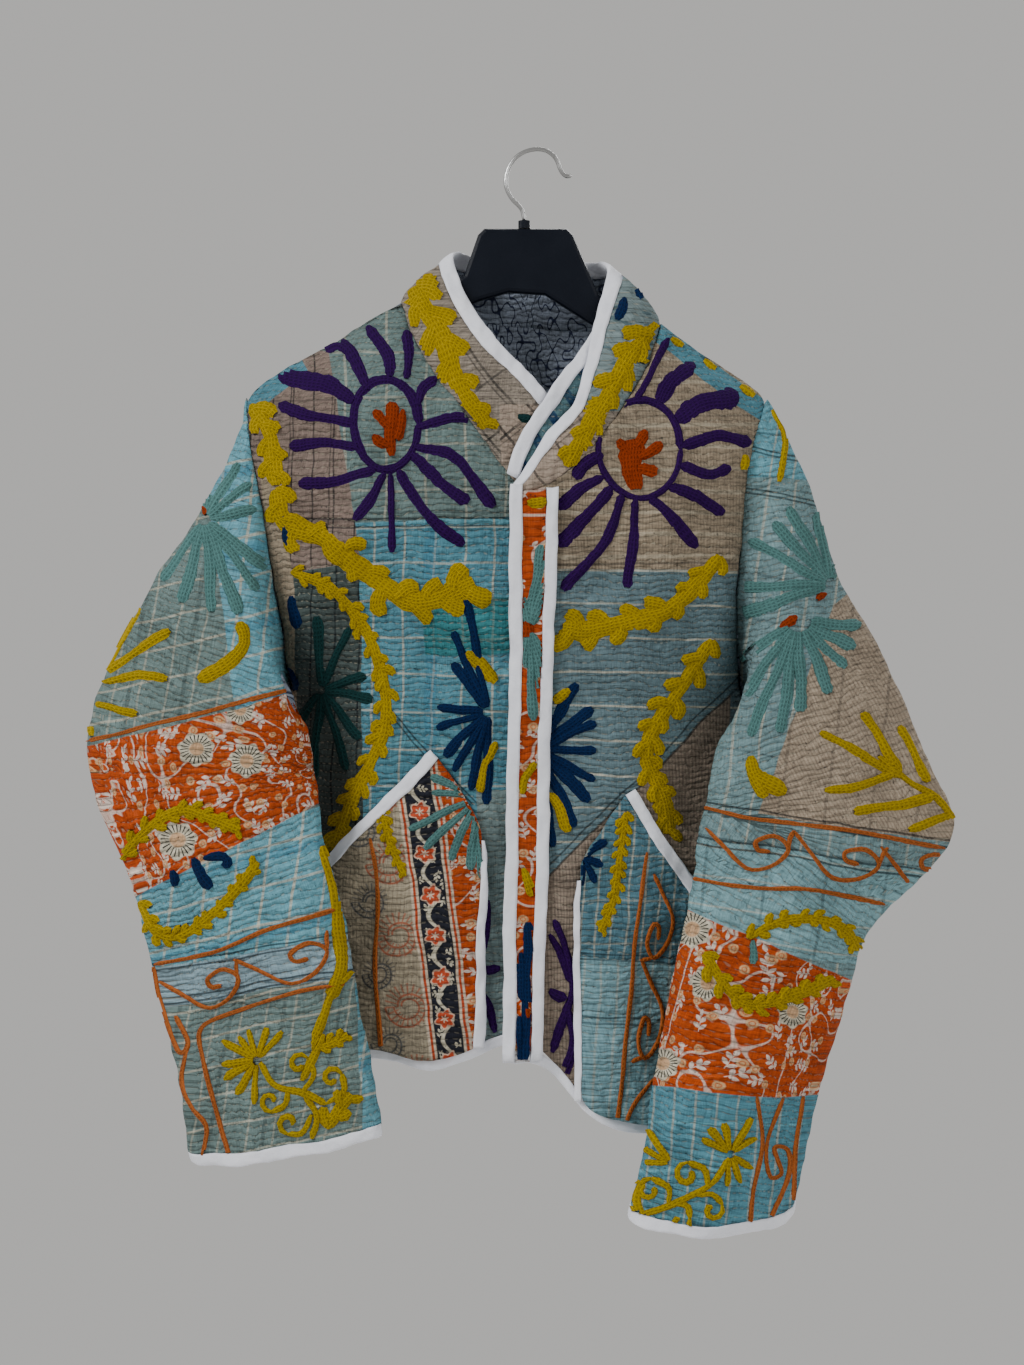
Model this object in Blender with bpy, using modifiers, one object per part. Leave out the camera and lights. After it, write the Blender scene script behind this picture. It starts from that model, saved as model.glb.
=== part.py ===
"""A kantha jacket on a hanger: a short, boxy jacket of quilted patchwork cloth with white bindings, hung by
its wire hook.

It is modelled as it hangs, in metres with +Z up and the front toward -Y. The origin is at the inside top of
the hook, where the hook bears on what holds it. Right and left are the wearer's: the right front is at -X.
The tables below are in millimetres. Each cloth piece is a wall, built from a smooth sheet of points: the
outer face carries the rows of quilting and the inner face is plain.
"""

import math

import bmesh
import bpy
import numpy as np

MM = 0.001
COLLECTION = "kantha_jacket_on_a_hanger"

# The cloth and what is sewn on it
WALL = 3.0  # two or three layers of old cotton, quilted together
SEAM = 0.4  # between two pieces at a seam
SEAM_OPENS = 0.8  # how far each piece draws back on the inside of an armhole's seam
LEAST_MITRE = 0.6  # where a seam turns sharply the wall across it is no thicker than WALL over this
QUILT = 1.0  # how far a row of quilting stands above the valley beside it
TAPE = 1.0  # the folded binding, on each face of the cloth
BINDING = 9.5  # the width of the bindings on hem, cuffs, pockets and placket
COLLAR_BINDING = 15.0
COLLAR_BINDING_SHARE = 0.62  # of the collar's height, where that is less than the width above
TURNED_EDGE = 0.2  # the share of a binding, and of the wall, over which its folded edge turns
POCKET_TAPE = 0.4  # the binding under a piece that lies on a panel
LAID_ON = QUILT + 1.7  # from a panel to the inner face of a piece that lies on it
COLLAR_ROLL = 3.0  # how far the middle of the collar stands out

# How many parts a panel is divided into
ROWS = 46  # down the side of the body
ARMHOLE_ROWS = 20  # those of them beside the sleeve
YOKE_ROWS = 8  # those of them that turn over the shoulder
NECK_COLUMNS = 6
BACK_NECK_COLUMNS = 3  # from the middle of the back to the shoulder seam
SHOULDER_COLUMNS = 5
NECK_SHARE = 0.46  # of a panel's width
ARMHOLE_SIDES = 10  # along each half of the armhole, one for every second row
ARMHOLE_SMOOTHING = 6  # how often the ways through the wall round it are averaged with their neighbours
SLEEVE_ROWS = 44
COLLAR_ROWS = 4
YOKE_FOOT = -300.0  # the height where the yoke's rows have become level
EASED_ROWS = 9  # above and below a bend of the side seam, over which the panels even it out
SLEEVE_HEAD = 0.07  # the share of a sleeve over which its rings turn from the armhole's shape into its own

COLOURS = {
    "blue": (0.30, 0.50, 0.56),
    "grey_blue": (0.36, 0.45, 0.47),
    "beige": (0.50, 0.44, 0.36),
    "orange": (0.62, 0.17, 0.05),
    "white": (0.86, 0.87, 0.90),
    "black": (0.012, 0.012, 0.014),
    "steel": (0.60, 0.60, 0.61),
}

# The collar from its right end, round the back of the neck, to its left end.
# name, base x, y, z, top x, y, z
COLLAR = (
    ("right end, under the left", 7, -51, -277, 23, -40, -204),
    ("right of the throat", -16, -52, -262, -1, -40, -178),
    ("right front", -46, -49, -218, -24, -35, -155),
    ("right side", -78, -34, -173, -44, -23, -126),
    ("right shoulder", -104, -2, -120, -63, 0, -78),
    ("back right", -76, 38, -124, -46, 35, -74),
    ("back", -1, 50, -130, -1, 45, -72),
    ("back left", 76, 38, -136, 45, 35, -78),
    ("left shoulder", 104, -2, -137, 64, 0, -87),
    ("left side", 86, -34, -182, 51, -20, -130),
    ("left front", 61, -56, -223, 40, -43, -180),
    ("left corner", 37, -65, -253, 32, -59, -206),
    ("left of the throat", 19, -69, -268, 9, -68, -231),
    ("left end", -6, -70, -276, -15, -71, -265),
)
BASE, TOP = slice(0, 3), slice(3, 6)
RIGHT_SHOULDER, LEFT_SHOULDER = 4, 8  # the rows of that table at the shoulder seams
INSIDE_THE_NECK = np.array((0, 8, 0))

# The shoulder seams, from the neck to the armhole: x, z
RIGHT_SHOULDER_SEAM = ((-104, -120), (-130, -134), (-158, -152), (-182, -166), (-205, -178), (-225, -193))
LEFT_SHOULDER_SEAM = ((104, -137), (122, -149), (140, -161), (157, -173), (173, -184), (188, -195))

# The armholes, from the shoulder seam to the underarm: x, y on the front, y on the back, z
RIGHT_ARMHOLE = (
    (-225, 0, 0, -193),
    (-219, -21, 22, -228),
    (-211, -31, 35, -268),
    (-203, -35, 41, -312),
    (-196, -30, 42, -360),
    (-192, -8, 36, -405),
    (-191, 26, 26, -430),
)
LEFT_ARMHOLE = (
    (188, 0, 0, -195),
    (174, -21, 22, -229),
    (167, -31, 35, -268),
    (162, -35, 41, -314),
    (161, -30, 42, -364),
    (164, -8, 36, -408),
    (169, 26, 26, -434),
)

# The side seams, from the underarm to the binding of the hem: x, y, z
RIGHT_SIDE = ((-191, 26, -430), (-198, 28, -520), (-206, 28, -610), (-212, 28, -692))
LEFT_SIDE = ((169, 26, -434), (184, 28, -530), (198, 28, -630), (208, 28, -728))

# The edges at the middle of the fronts and of the back, from the collar to the hem: x, y, z
RIGHT_FRONT_EDGE = ((7, -54, -277), (-2, -54, -300), (-2, -56, -430), (-2, -56, -560), (-2, -55, -684))
LEFT_FRONT_EDGE = ((-6, -70, -276), (-6, -66, -300), (-8, -66, -430), (-10, -66, -560), (-12, -65, -699))
BACK_MIDDLE = ((-1, 50, -130), (-2, 48, -300), (-4, 51, -430), (-3, 53, -560), (-2, 52, -704))

# Where the hem's binding starts: x, z
RIGHT_HEM = ((-212, -692), (-165, -692), (-116, -698), (-80, -707), (-38, -696), (-20, -686), (-2, -682))
LEFT_HEM = ((-12, -699), (8, -697), (20, -712), (36, -732), (54, -747), (84, -755), (130, -750), (208, -728))
BACK_HEM = ((-212, -692), (-120, -700), (0, -706), (120, -716), (208, -728))

FRONT_FULLNESS = 2.7  # 2 is a round side, and more is a flatter front with a tighter turn
BACK_FULLNESS = 3.0
SHOULDER_FALL = 0.65  # how steeply the cloth falls from the shoulder seam: less is rounder

# The large folds as they show from the front. Each runs from one point to another and rises or sinks.
# x, z, to x, to z, width, rise
FOLD_SWELLS, FOLD_FADES = 0.45, 0.25  # the shares of its length over which a fold starts and ends
RIGHT_FRONT_FOLDS = (
    (-176, -290, -160, -600, 15, -10),
    (-150, -210, -118, -350, 22, 5),
    (-128, -380, -96, -680, 24, 5),
    (-27, -500, -26, -800, 10, -8),
    (-60, -290, -40, -470, 20, 4),
    (-74, -520, -64, -820, 18, 5),
)
LEFT_FRONT_FOLDS = (
    (132, -290, 128, -560, 14, -9),
    (112, -210, 86, -350, 20, 5),
    (66, -390, 84, -640, 26, 5),
    (21, -540, 20, -830, 11, -10),
    (60, -560, 64, -880, 20, 7),
    (116, -560, 118, -860, 18, -6),
)
BACK_FOLDS = (
    (-128, -260, -112, -860, 28, 8),
    (-62, -330, -44, -860, 24, -7),
    (14, -240, 10, -860, 28, 7),
    (84, -340, 98, -880, 24, -8),
    (146, -300, 150, -880, 22, 6),
)

# The sleeves, by sections from the armhole to the binding of the cuff. Each is an oval from the outer edge to
# the inner edge. The bow brings its front over toward the body, and the dip lowers its front.
# outer x, y, z, inner x, y, z, depth in front, behind, bow, dip
RIGHT_SLEEVE = (
    (-228, -3, -198, -199, 2, -430, 34, 38, 4, 0),
    (-230, -7, -228, -199, -18, -436, 36, 34, 10, 0),
    (-245, -13, -258, -189, -38, -442, 37, 30, 8, 0),
    (-274, -20, -307, -174, -52, -448, 37, 27, 2, 0),
    (-308, -27, -366, -167, -62, -461, 37, 25, 0, 0),
    (-334, -33, -425, -163, -69, -481, 36, 24, 0, 0),
    (-342, -37, -470, -159, -75, -505, 35, 23, 0, 0),
    (-332, -40, -518, -154, -80, -532, 33, 22, 0, 0),
    (-312, -42, -563, -147, -85, -562, 31, 21, 0, 0),
    (-297, -44, -609, -138, -89, -598, 29, 20, 0, 0),
    (-285, -46, -655, -131, -92, -635, 28, 19, 0, 0),
    (-275, -48, -701, -124, -94, -675, 27, 19, 0, 0),
    (-266, -50, -747, -117, -96, -716, 26, 19, 0, 0),
    (-260, -52, -778, -112, -98, -747, 25, 19, 0, 2),
)
LEFT_SLEEVE = (
    (190, -3, -200, 178, 4, -434, 34, 38, 6, 0),
    (207, -7, -232, 178, -18, -440, 36, 34, 15, 0),
    (230, -13, -292, 165, -43, -447, 38, 30, 16, 0),
    (250, -21, -350, 148, -60, -458, 38, 27, 8, 0),
    (273, -28, -396, 138, -72, -473, 38, 25, 3, 0),
    (295, -34, -448, 133, -80, -490, 37, 24, 0, 0),
    (314, -39, -496, 130, -86, -508, 36, 23, 0, 0),
    (326, -42, -528, 126, -90, -528, 35, 22, 0, 0),
    (313, -45, -557, 122, -94, -548, 36, 22, 0, 0),
    (285, -48, -581, 118, -97, -568, 37, 22, 0, 0),
    (262, -51, -604, 114, -100, -587, 37, 22, 0, 0),
    (245, -54, -647, 107, -104, -618, 38, 22, 0, 0),
    (231, -57, -693, 98, -107, -662, 39, 23, 0, 0),
    (218, -59, -736, 90, -109, -712, 40, 25, 0, 0),
    (208, -61, -778, 82, -111, -762, 41, 27, 0, 4),
    (201, -63, -812, 72, -112, -801, 41, 28, 0, 8),
)
RIGHT_SLEEVE_FOLDS = (
    (-232, -240, -270, -330, 16, -5),
    (-220, -300, -190, -430, 14, 4),
    (-300, -420, -240, -520, 18, 4),
    (-250, -470, -176, -500, 14, -4),
    (-270, -560, -210, -700, 18, -4),
    (-190, -560, -150, -680, 16, 4),
)
LEFT_SLEEVE_FOLDS = (
    (200, -250, 250, -380, 18, -5),
    (172, -300, 160, -440, 14, 5),
    (316, -524, 190, -560, 13, 5),
    (300, -556, 176, -596, 11, -7),
    (252, -594, 150, -622, 13, 5),
    (200, -640, 190, -760, 18, -5),
    (140, -640, 112, -760, 16, 5),
)

# The pockets, laid on the fronts: the corners as they show from the front, x and z
RIGHT_POCKET = {
    "mouth foot": (-163, -574),
    "peak": (-69, -478),
    "seam foot": (-38, -527),
    "front foot": (-43, -696),
}
LEFT_POCKET = {
    "mouth foot": (136, -606),
    "peak": (70, -505),
    "seam foot": (37, -556),
    "front foot": (40, -730),
}
POCKET_ROWS, POCKET_MOUTH_COLUMNS, POCKET_SEAM_COLUMNS = 14, 6, 3
# The binding on a pocket's front edge is turned under toward its top: its width there and at the hem
POCKET_EDGES = {"right": (3, 9), "left": (3.5, 6.8)}

# The placket, over the edge of the left front: the outer edges of its two bindings, x, and its end, z
PLACKET_TOP, PLACKET_FOOT = (-16, 21, -277), (-22, 9, -706)
PLACKET_ROWS = 12

# The strip under the left end of the collar: the edge of its binding, x, y, z
UNDERLAP = (
    (52, -15, -138),
    (40, -26, -157),
    (19, -45, -188),
    (-4, -56, -222),
    (-16, -61, -250),
    (-18, -60, -259),
)
UNDERLAP_BINDING, UNDERLAP_WIDTH, UNDERLAP_SLANT = 11.0, 28.0, (0.86, 0.20, -0.42)

# The hanger: the block in the collar, arms to the shoulders, and a wire hook in a ferrule. x, z
HANGER_TOP = ((-103, -132), (-52, -98), (-41, -66), (-36, -61), (29, -61), (34, -66), (54, -113), (103, -149))
HANGER_RIGHT_ARM = ((-130, -147), (-158, -165), (-182, -180), (-203, -194), (-208, -200), (-200, -208))
HANGER_LEFT_ARM = ((170, -210), (176, -206), (170, -197), (157, -187), (140, -175), (122, -163))
HANGER_ARCH = (
    (-180, -196),
    (-130, -166),
    (-80, -137),
    (-41, -118),
    (-17, -111),
    (12, -113),
    (45, -134),
    (100, -168),
    (145, -196),
)
HANGER_THICKNESS, HANGER_EDGE = 10.0, 3.5
WIRE = 3.9
HOOK = (
    (-4.5, -54.2),
    (-6.5, -45),
    (-14, -37.5),
    (-19, -27),
    (-17.5, -14),
    (-11, -4),
    (1, 1.9),
    (13, 1.2),
    (20.5, -5),
    (24.5, -15),
    (28, -19.5),
    (33, -18.5),
)
HOOK_POINTS = 26
FERRULE = {"x": -4.5, "width": 9.5, "top": -54.6, "foot": -60.6}


def unit(v):
    return v / np.maximum(np.linalg.norm(v, axis=-1, keepdims=True), 1e-12)


def through(values, at, keys=None):
    """A smooth curve through a table's rows, which are at the keys or evenly from 0 to 1, at each place."""
    values = np.asarray(values, float)
    keys = np.linspace(0, 1, len(values)) if keys is None else np.asarray(keys, float)
    at = np.asarray(at, float)
    slopes = np.gradient(values, keys, axis=0)
    i = np.clip(np.searchsorted(keys, at, side="right") - 1, 0, len(keys) - 2)
    gap = (keys[i + 1] - keys[i])[..., None]
    t = (at - keys[i])[..., None] / gap
    start, end = values[i], values[i + 1]
    rise = 3 * (end - start) - gap * (2 * slopes[i] + slopes[i + 1])
    turn = gap * (slopes[i] + slopes[i + 1]) - 2 * (end - start)
    return start + gap * slopes[i] * t + rise * t**2 + turn * t**3


def lengths(points):
    """How far along a line each of its points is, from 0 to 1."""
    steps = np.linalg.norm(np.diff(points, axis=0), axis=1)
    along = np.concatenate([[0], np.cumsum(steps)])
    return along / along[-1]


def spaced(points, count):
    """The smooth line through a table's points, cut into parts of like length."""
    points = np.asarray(points, float)
    fine = through(points, np.linspace(0, 1, 200), lengths(points))
    return along_line(fine, np.linspace(0, 1, count + 1))


def along_line(points, at):
    """The points at those shares of a line of straight parts."""
    keys = lengths(points)
    return np.stack([np.interp(at, keys, points[:, k]) for k in range(points.shape[1])], axis=-1)


def quarter(middle, side, fullness, shares):
    """A quarter of a full oval, from the middle of a panel to its side, at those shares of its length."""
    angle = np.linspace(0, math.pi / 2, 80)
    across = np.sin(angle) ** (2 / fullness)
    back = 1 - np.cos(angle) ** (2 / fullness)
    fine = middle + (side - middle) * np.stack([across, back, across], axis=-1)
    return along_line(fine, shares)


def facing(sheet, inside, ring=False):
    """The outward direction at each point of a sheet, from its neighbours."""
    down = np.gradient(sheet, axis=0)
    if ring:
        round_it = np.roll(sheet, -1, axis=1) - np.roll(sheet, 1, axis=1)
    else:
        round_it = np.gradient(sheet, axis=1)
    out = unit(np.cross(down, round_it))
    return out if np.sum(out * (sheet - inside)) > 0 else -out


def folded(sheet, folds, inside, free, ring=False, side=0):
    """The sheet with its large folds pressed in. free is 0 where it is sewn to a piece, and 1 elsewhere.

    side is -1 where only the half toward the front takes them.
    """
    out = facing(sheet, inside, ring)
    rise = np.zeros(sheet.shape[:2])
    place = sheet[..., (0, 2)]
    for x, z, to_x, to_z, width, height in folds:
        start, run = np.array((x, z), float), np.array((to_x - x, to_z - z), float)
        share = np.clip(((place - start) @ run) / (run @ run), 0, 1)
        away = np.linalg.norm(place - start - share[..., None] * run, axis=-1)
        swell = np.clip(share / FOLD_SWELLS, 0, 1) * np.clip((1 - share) / FOLD_FADES, 0, 1)
        rise += height * np.exp(-((away / width) ** 2)) * swell * swell * (3 - 2 * swell)
    if side:
        rise = rise * np.clip(0.5 + 1.5 * side * out[..., 1], 0, 1)
    return sheet + out * (rise * free)[..., None]


def mitre(*outward):
    """The way through the wall that pieces share where they meet, so that their edges stay parallel."""
    shared = unit(sum(outward))
    reach = np.mean([(o * shared).sum(-1, keepdims=True) for o in outward], axis=0)
    return -shared * WALL / np.clip(reach, LEAST_MITRE, 1)


def drawn_in(sheet, edges, gap=SEAM / 2):
    """The sheet with that much taken off at the named edges, which is half of a seam's gap."""
    sheet = sheet.copy()
    ends = {
        "top": (np.s_[0], np.s_[1]),
        "first side": (np.s_[:, 0], np.s_[:, 1]),
        "last side": (np.s_[:, -1], np.s_[:, -2]),
    }
    for edge in edges:
        at, beside = ends[edge]
        sheet[at] += unit(sheet[beside] - sheet[at]) * gap
    return sheet


def quilting(rows, columns, ring=False):
    """How far each point of the outer face is raised: every second row, and nothing at the seams."""
    height = np.zeros((rows, columns))
    height[1:-1:2] = QUILT
    if not ring:
        height[:, (0, -1)] = 0
    return height


def material(name, colour):
    made = bpy.data.materials.new(name)
    made.use_nodes = True
    shader = made.node_tree.nodes["Principled BSDF"]
    shader.inputs["Base Color"].default_value = (*COLOURS[colour], 1)
    shader.inputs["Roughness"].default_value = 0.35 if colour in ("black", "steel") else 0.9
    shader.inputs["Metallic"].default_value = 1.0 if colour == "steel" else 0.0
    return made


def keep(thing, colour):
    """Puts a finished object in the jacket's collection, with its own material."""
    for other in thing.users_collection:
        other.objects.unlink(thing)
    bpy.data.collections[COLLECTION].objects.link(thing)
    thing.data.materials.append(material(thing.name, colour))
    return thing


def closed_body(name, colour, points, faces):
    mesh = bpy.data.meshes.new(name)
    mesh.from_pydata([tuple(p) for p in np.asarray(points) * MM], [], faces)
    whole = bmesh.new()
    whole.from_mesh(mesh)
    bmesh.ops.recalc_face_normals(whole, faces=whole.faces)
    whole.to_mesh(mesh)
    whole.free()
    mesh.shade_smooth()
    mesh.set_sharp_from_angle(angle=math.radians(50))
    thing = bpy.data.objects.new(name, mesh)
    bpy.context.scene.collection.objects.link(thing)
    return keep(thing, colour)


def cloth_wall(name, colour, sheet, through_wall, ring=False, quilted=True):
    """A closed wall of cloth. The inner face has every second row of the outer one."""
    rows, columns = sheet.shape[:2]
    raised = quilting(rows, columns, ring) if quilted else np.zeros((rows, columns))
    outer = sheet - unit(through_wall) * raised[..., None]
    inner = (sheet + through_wall)[::2]
    inner_rows = len(inner)
    points = np.concatenate([outer.reshape(-1, 3), inner.reshape(-1, 3)])

    def o(i, j):
        return i * columns + j % columns

    def n(i, j):
        return rows * columns + i * columns + j % columns

    faces = []
    for j in range(columns if ring else columns - 1):
        faces += [(o(i, j), o(i, j + 1), o(i + 1, j + 1), o(i + 1, j)) for i in range(rows - 1)]
        faces += [(n(i, j), n(i + 1, j), n(i + 1, j + 1), n(i, j + 1)) for i in range(inner_rows - 1)]
        faces.append((o(0, j), n(0, j), n(0, j + 1), o(0, j + 1)))
        last, inner_last = rows - 1, inner_rows - 1
        faces.append((o(last, j + 1), n(inner_last, j + 1), n(inner_last, j), o(last, j)))
    if not ring:
        for j, turn in ((0, 1), (columns - 1, -1)):
            for i in range(inner_rows - 1):
                fan = (
                    (n(i, j), o(2 * i, j), o(2 * i + 1, j)),
                    (n(i, j), o(2 * i + 1, j), n(i + 1, j)),
                    (n(i + 1, j), o(2 * i + 1, j), o(2 * i + 2, j)),
                )
                faces += [face[::turn] for face in fan]
    return closed_body(name, colour, points, faces)


def strip(name, colour, edge, onward, outward, width, gap=SEAM, under=TAPE, ring=False):
    """A folded binding along an edge of cloth. It starts a gap past the edge, and covers both faces of it."""
    outward = unit(outward)
    onward = unit(onward - outward * (onward * outward).sum(-1, keepdims=True))
    width = np.broadcast_to(np.asarray(width, float), len(edge))[:, None]
    turn = TURNED_EDGE * width
    section = (
        (gap, TAPE),
        (width - turn, TAPE),
        (width, -WALL * TURNED_EDGE),
        (width, -WALL * (1 - TURNED_EDGE)),
        (width - turn, -WALL - under),
        (gap, -WALL - under),
    )
    rows = np.stack([edge + onward * a + outward * b for a, b in section], axis=1)
    count, sides = rows.shape[:2]

    def at(i, k):
        return (i % count) * sides + k % sides

    spans = range(count if ring else count - 1)
    faces = [(at(i, k), at(i, k + 1), at(i + 1, k + 1), at(i + 1, k)) for i in spans for k in range(sides)]
    if not ring:
        faces.append(tuple(at(0, k) for k in range(sides)))
        faces.append(tuple(at(count - 1, k) for k in reversed(range(sides))))
    return closed_body(name, colour, rows.reshape(-1, 3), faces)


def armhole_ring(table):
    """The armhole's points from the shoulder seam down the front to the underarm and up the back."""
    x, front_y, back_y, z = np.asarray(table, float).T
    front = spaced(np.stack([x, front_y, z], axis=-1), ARMHOLE_SIDES)
    back = spaced(np.stack([x, back_y, z], axis=-1), ARMHOLE_SIDES)
    return front, back


def eased_side(side):
    """The side of a panel with the bends of its depth evened out, for the rows that run to it."""
    eased = side.copy()
    padded = np.pad(side[:, 1], EASED_ROWS, mode="edge")
    window = np.hanning(2 * EASED_ROWS + 3)[1:-1]
    eased[:, 1] = np.convolve(padded, window / window.sum(), "valid")
    return eased


def body_half(top, side, middle, fullness, hem, neck_columns):
    """One side of a front or of the back: row by row, from its middle to its armhole and side seam."""
    neck = np.linspace(0, NECK_SHARE, neck_columns + 1)
    shoulder = np.linspace(NECK_SHARE, 1, SHOULDER_COLUMNS + 1)
    shares = np.concatenate([neck, shoulder[1:]])
    near_side = shares[:, None] ** 5
    eased = eased_side(side)
    rows = []
    for i in range(YOKE_ROWS, ROWS + 1):
        row = quarter(middle[i], eased[i], fullness, shares)
        rows.append(row + (side[i] - eased[i]) * near_side)
    level = np.array(rows)
    hem_rise = np.interp(level[-1, :, 0], *np.asarray(sorted(hem), float).T) - level[-1, :, 2]
    down = np.linspace(0, 1, len(level))[:, None]
    level[..., 2] += hem_rise * down**3
    yoke = []
    for i in range(YOKE_ROWS):
        up = 1 - i / YOKE_ROWS
        row = level[0] + (top - level[0]) * up
        turned = 1 - math.sin(math.pi / 2 * (1 - up)) ** SHOULDER_FALL
        row[:, 1] = level[0, :, 1] + (top[:, 1] - level[0, :, 1]) * turned
        row += (side[i] - row[-1]) * shares[:, None] ** 3
        yoke.append(row)
    return np.concatenate([np.array(yoke), level])


def down_the_side(half_armhole, side_table):
    beside_sleeve = along_line(half_armhole, np.linspace(0, 1, ARMHOLE_ROWS + 1))
    below = spaced(side_table, ROWS - ARMHOLE_ROWS)
    return np.concatenate([beside_sleeve, below[1:]])


def down_the_middle(table):
    """The middle edge's points: close together on the yoke and then at the spacing of the rows."""
    table = np.asarray(table, float)
    heights = np.concatenate(
        [
            np.linspace(table[0, 2], YOKE_FOOT, YOKE_ROWS + 1),
            np.linspace(YOKE_FOOT, table[-1, 2], ROWS - YOKE_ROWS + 1)[1:],
        ]
    )
    x, y = np.interp(-heights, -table[:, 2], table[:, 0]), np.interp(-heights, -table[:, 2], table[:, 1])
    return np.stack([x, y, heights], axis=-1)


def collar_line(at, columns):
    """The collar's base or top at those rows of its table."""
    table = np.asarray([row[1:] for row in COLLAR], float)
    return through(table[:, columns], at, np.arange(len(table)))


def seam_line(table):
    x, z = np.asarray(table, float).T
    return spaced(np.stack([x, np.zeros(len(x)), z], axis=-1), SHOULDER_COLUMNS)


def sleeve_sheet(front, back, table, folds):
    """The sleeve's rings, from armhole to cuff. Each starts at the outer edge and goes round by the front."""
    table = np.asarray(table, float)
    middles = (table[:, :3] + table[:, 3:6]) / 2
    rows = through(table, np.linspace(0, 1, SLEEVE_ROWS + 1), lengths(middles))
    angle = math.pi * np.arange(2 * ARMHOLE_SIDES) / ARMHOLE_SIDES
    outer, inner = rows[:, None, :3], rows[:, None, 3:6]
    ahead, behind, bow, dip = (rows[:, k, None] for k in (6, 7, 8, 9))
    across, forward = np.cos(angle), np.sin(angle)
    in_front = np.maximum(forward, 0)
    rings = (outer + inner) / 2 + (outer - inner) / 2 * across[:, None]
    toward_body = np.sign(table[0, 3] - table[0, 0])
    rings[..., 0] += toward_body * bow * in_front
    rings[..., 1] -= np.where(forward > 0, ahead, behind) * forward
    rings[..., 2] -= dip * in_front
    armhole = np.concatenate([front, back[-2:0:-1]])
    share = np.linspace(0, 1, SLEEVE_ROWS + 1)
    turned = np.clip(share / SLEEVE_HEAD, 0, 1)[:, None, None]
    rings = armhole * (1 - turned) + rings * turned
    free = np.clip((share - SLEEVE_HEAD) / SLEEVE_HEAD, 0, 1)[:, None]
    centres = rings.mean(axis=1, keepdims=True)
    return folded(rings, folds, centres, free, ring=True, side=-1)


def panel_free(rows, columns, whole_back=False):
    """0 at a panel's seams and 1 inside it. The hem hangs free."""
    top = np.clip(np.arange(rows) / 6, 0, 1)[:, None]
    j = np.arange(columns)
    last_side = np.clip((columns - 1 - j) / 3, 0, 1)
    first_side = np.clip(j / 3, 0, 1) if whole_back else np.clip(j / 2, 0, 1)
    return top * last_side * first_side


def halves(sheet, out):
    """A sheet's quads, each as two triangles: the place and the outward direction at their corners."""
    rows, columns = sheet.shape[0] - 1, sheet.shape[1] - 1
    both = np.concatenate([sheet, out], axis=-1)
    triangles = []
    for corners in (((0, 0), (1, 0), (0, 1)), ((1, 0), (1, 1), (0, 1))):
        parts = [both[i : rows + i, j : columns + j].reshape(-1, 6) for i, j in corners]
        triangles.append(np.stack(parts, axis=1))
    return np.concatenate(triangles)


def laid_on(sheet, out, place, height):
    """Points at a height above a panel, where they show from the front: place holds x and z of each."""
    triangles = halves(sheet, out)
    first, second, third = (triangles[:, k, (0, 2)] for k in range(3))
    run, other = second - first, third - first
    area = run[:, 0] * other[:, 1] - run[:, 1] * other[:, 0]
    area = np.where(np.abs(area) < 1e-9, 1e-9, area)
    found = []
    for point in np.asarray(place, float).reshape(-1, 2):
        to = point - first
        u = (to[:, 0] * other[:, 1] - to[:, 1] * other[:, 0]) / area
        v = (run[:, 0] * to[:, 1] - run[:, 1] * to[:, 0]) / area
        outside = np.maximum.reduce([-u, -v, u + v - 1, np.zeros(len(u))])
        at = np.argmin(outside)
        corner, onward, across = triangles[at]
        mix = corner + (onward - corner) * u[at] + (across - corner) * v[at]
        found.append(mix[:3] + unit(mix[3:]) * height)
    return np.array(found).reshape(*np.shape(place)[:-1], 3)


def pocket_sheet(panel, out, corners, hem):
    """A pocket's points, from its slanting top down to the hem, and from the side to the front edge."""
    mouth_foot, peak = np.array(corners["mouth foot"], float), np.array(corners["peak"], float)
    seam_foot, front_foot = np.array(corners["seam foot"], float), np.array(corners["front foot"], float)
    mouth = np.linspace(mouth_foot, peak, POCKET_MOUTH_COLUMNS + 1)
    seam = np.linspace(peak, seam_foot, POCKET_SEAM_COLUMNS + 1)[1:]
    top = np.concatenate([mouth, seam])
    foot_x = np.linspace(mouth_foot[0], front_foot[0], len(top))
    foot = np.stack([foot_x, np.interp(foot_x, *np.asarray(sorted(hem), float).T)], axis=-1)
    place = top + (foot - top) * np.linspace(0, 1, POCKET_ROWS + 1)[:, None, None]
    return laid_on(panel, out, place, LAID_ON + WALL)


def make_pocket(side, panel, out, corners, hem):
    sheet = pocket_sheet(panel, out, corners, hem)
    outward = facing(sheet, sheet * (1, 0, 1))
    cloth_wall(f"pocket_{side}", "beige" if side == "right" else "blue", sheet, -outward * WALL)
    mouth = np.s_[0, : POCKET_MOUTH_COLUMNS + 1]
    edge = np.s_[1:, -1]
    at_top, at_hem = POCKET_EDGES[side]
    widening = at_top + (at_hem - at_top) * np.sqrt(np.linspace(0, 1, POCKET_ROWS))
    for name, line, toward, width in (
        (f"pocket_mouth_binding_{side}", mouth, np.array((0, 0, 1.0)), BINDING),
        (f"pocket_edge_binding_{side}", edge, np.sign(sheet[-1, -1] - sheet[-1, -2]) * (1, 0, 0), widening),
    ):
        away = np.cross(np.gradient(sheet[line], axis=0), outward[line])
        away *= np.sign(np.sum(away * toward, axis=-1, keepdims=True))
        strip(name, "white", sheet[line], away, outward[line], width, under=POCKET_TAPE)


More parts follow.
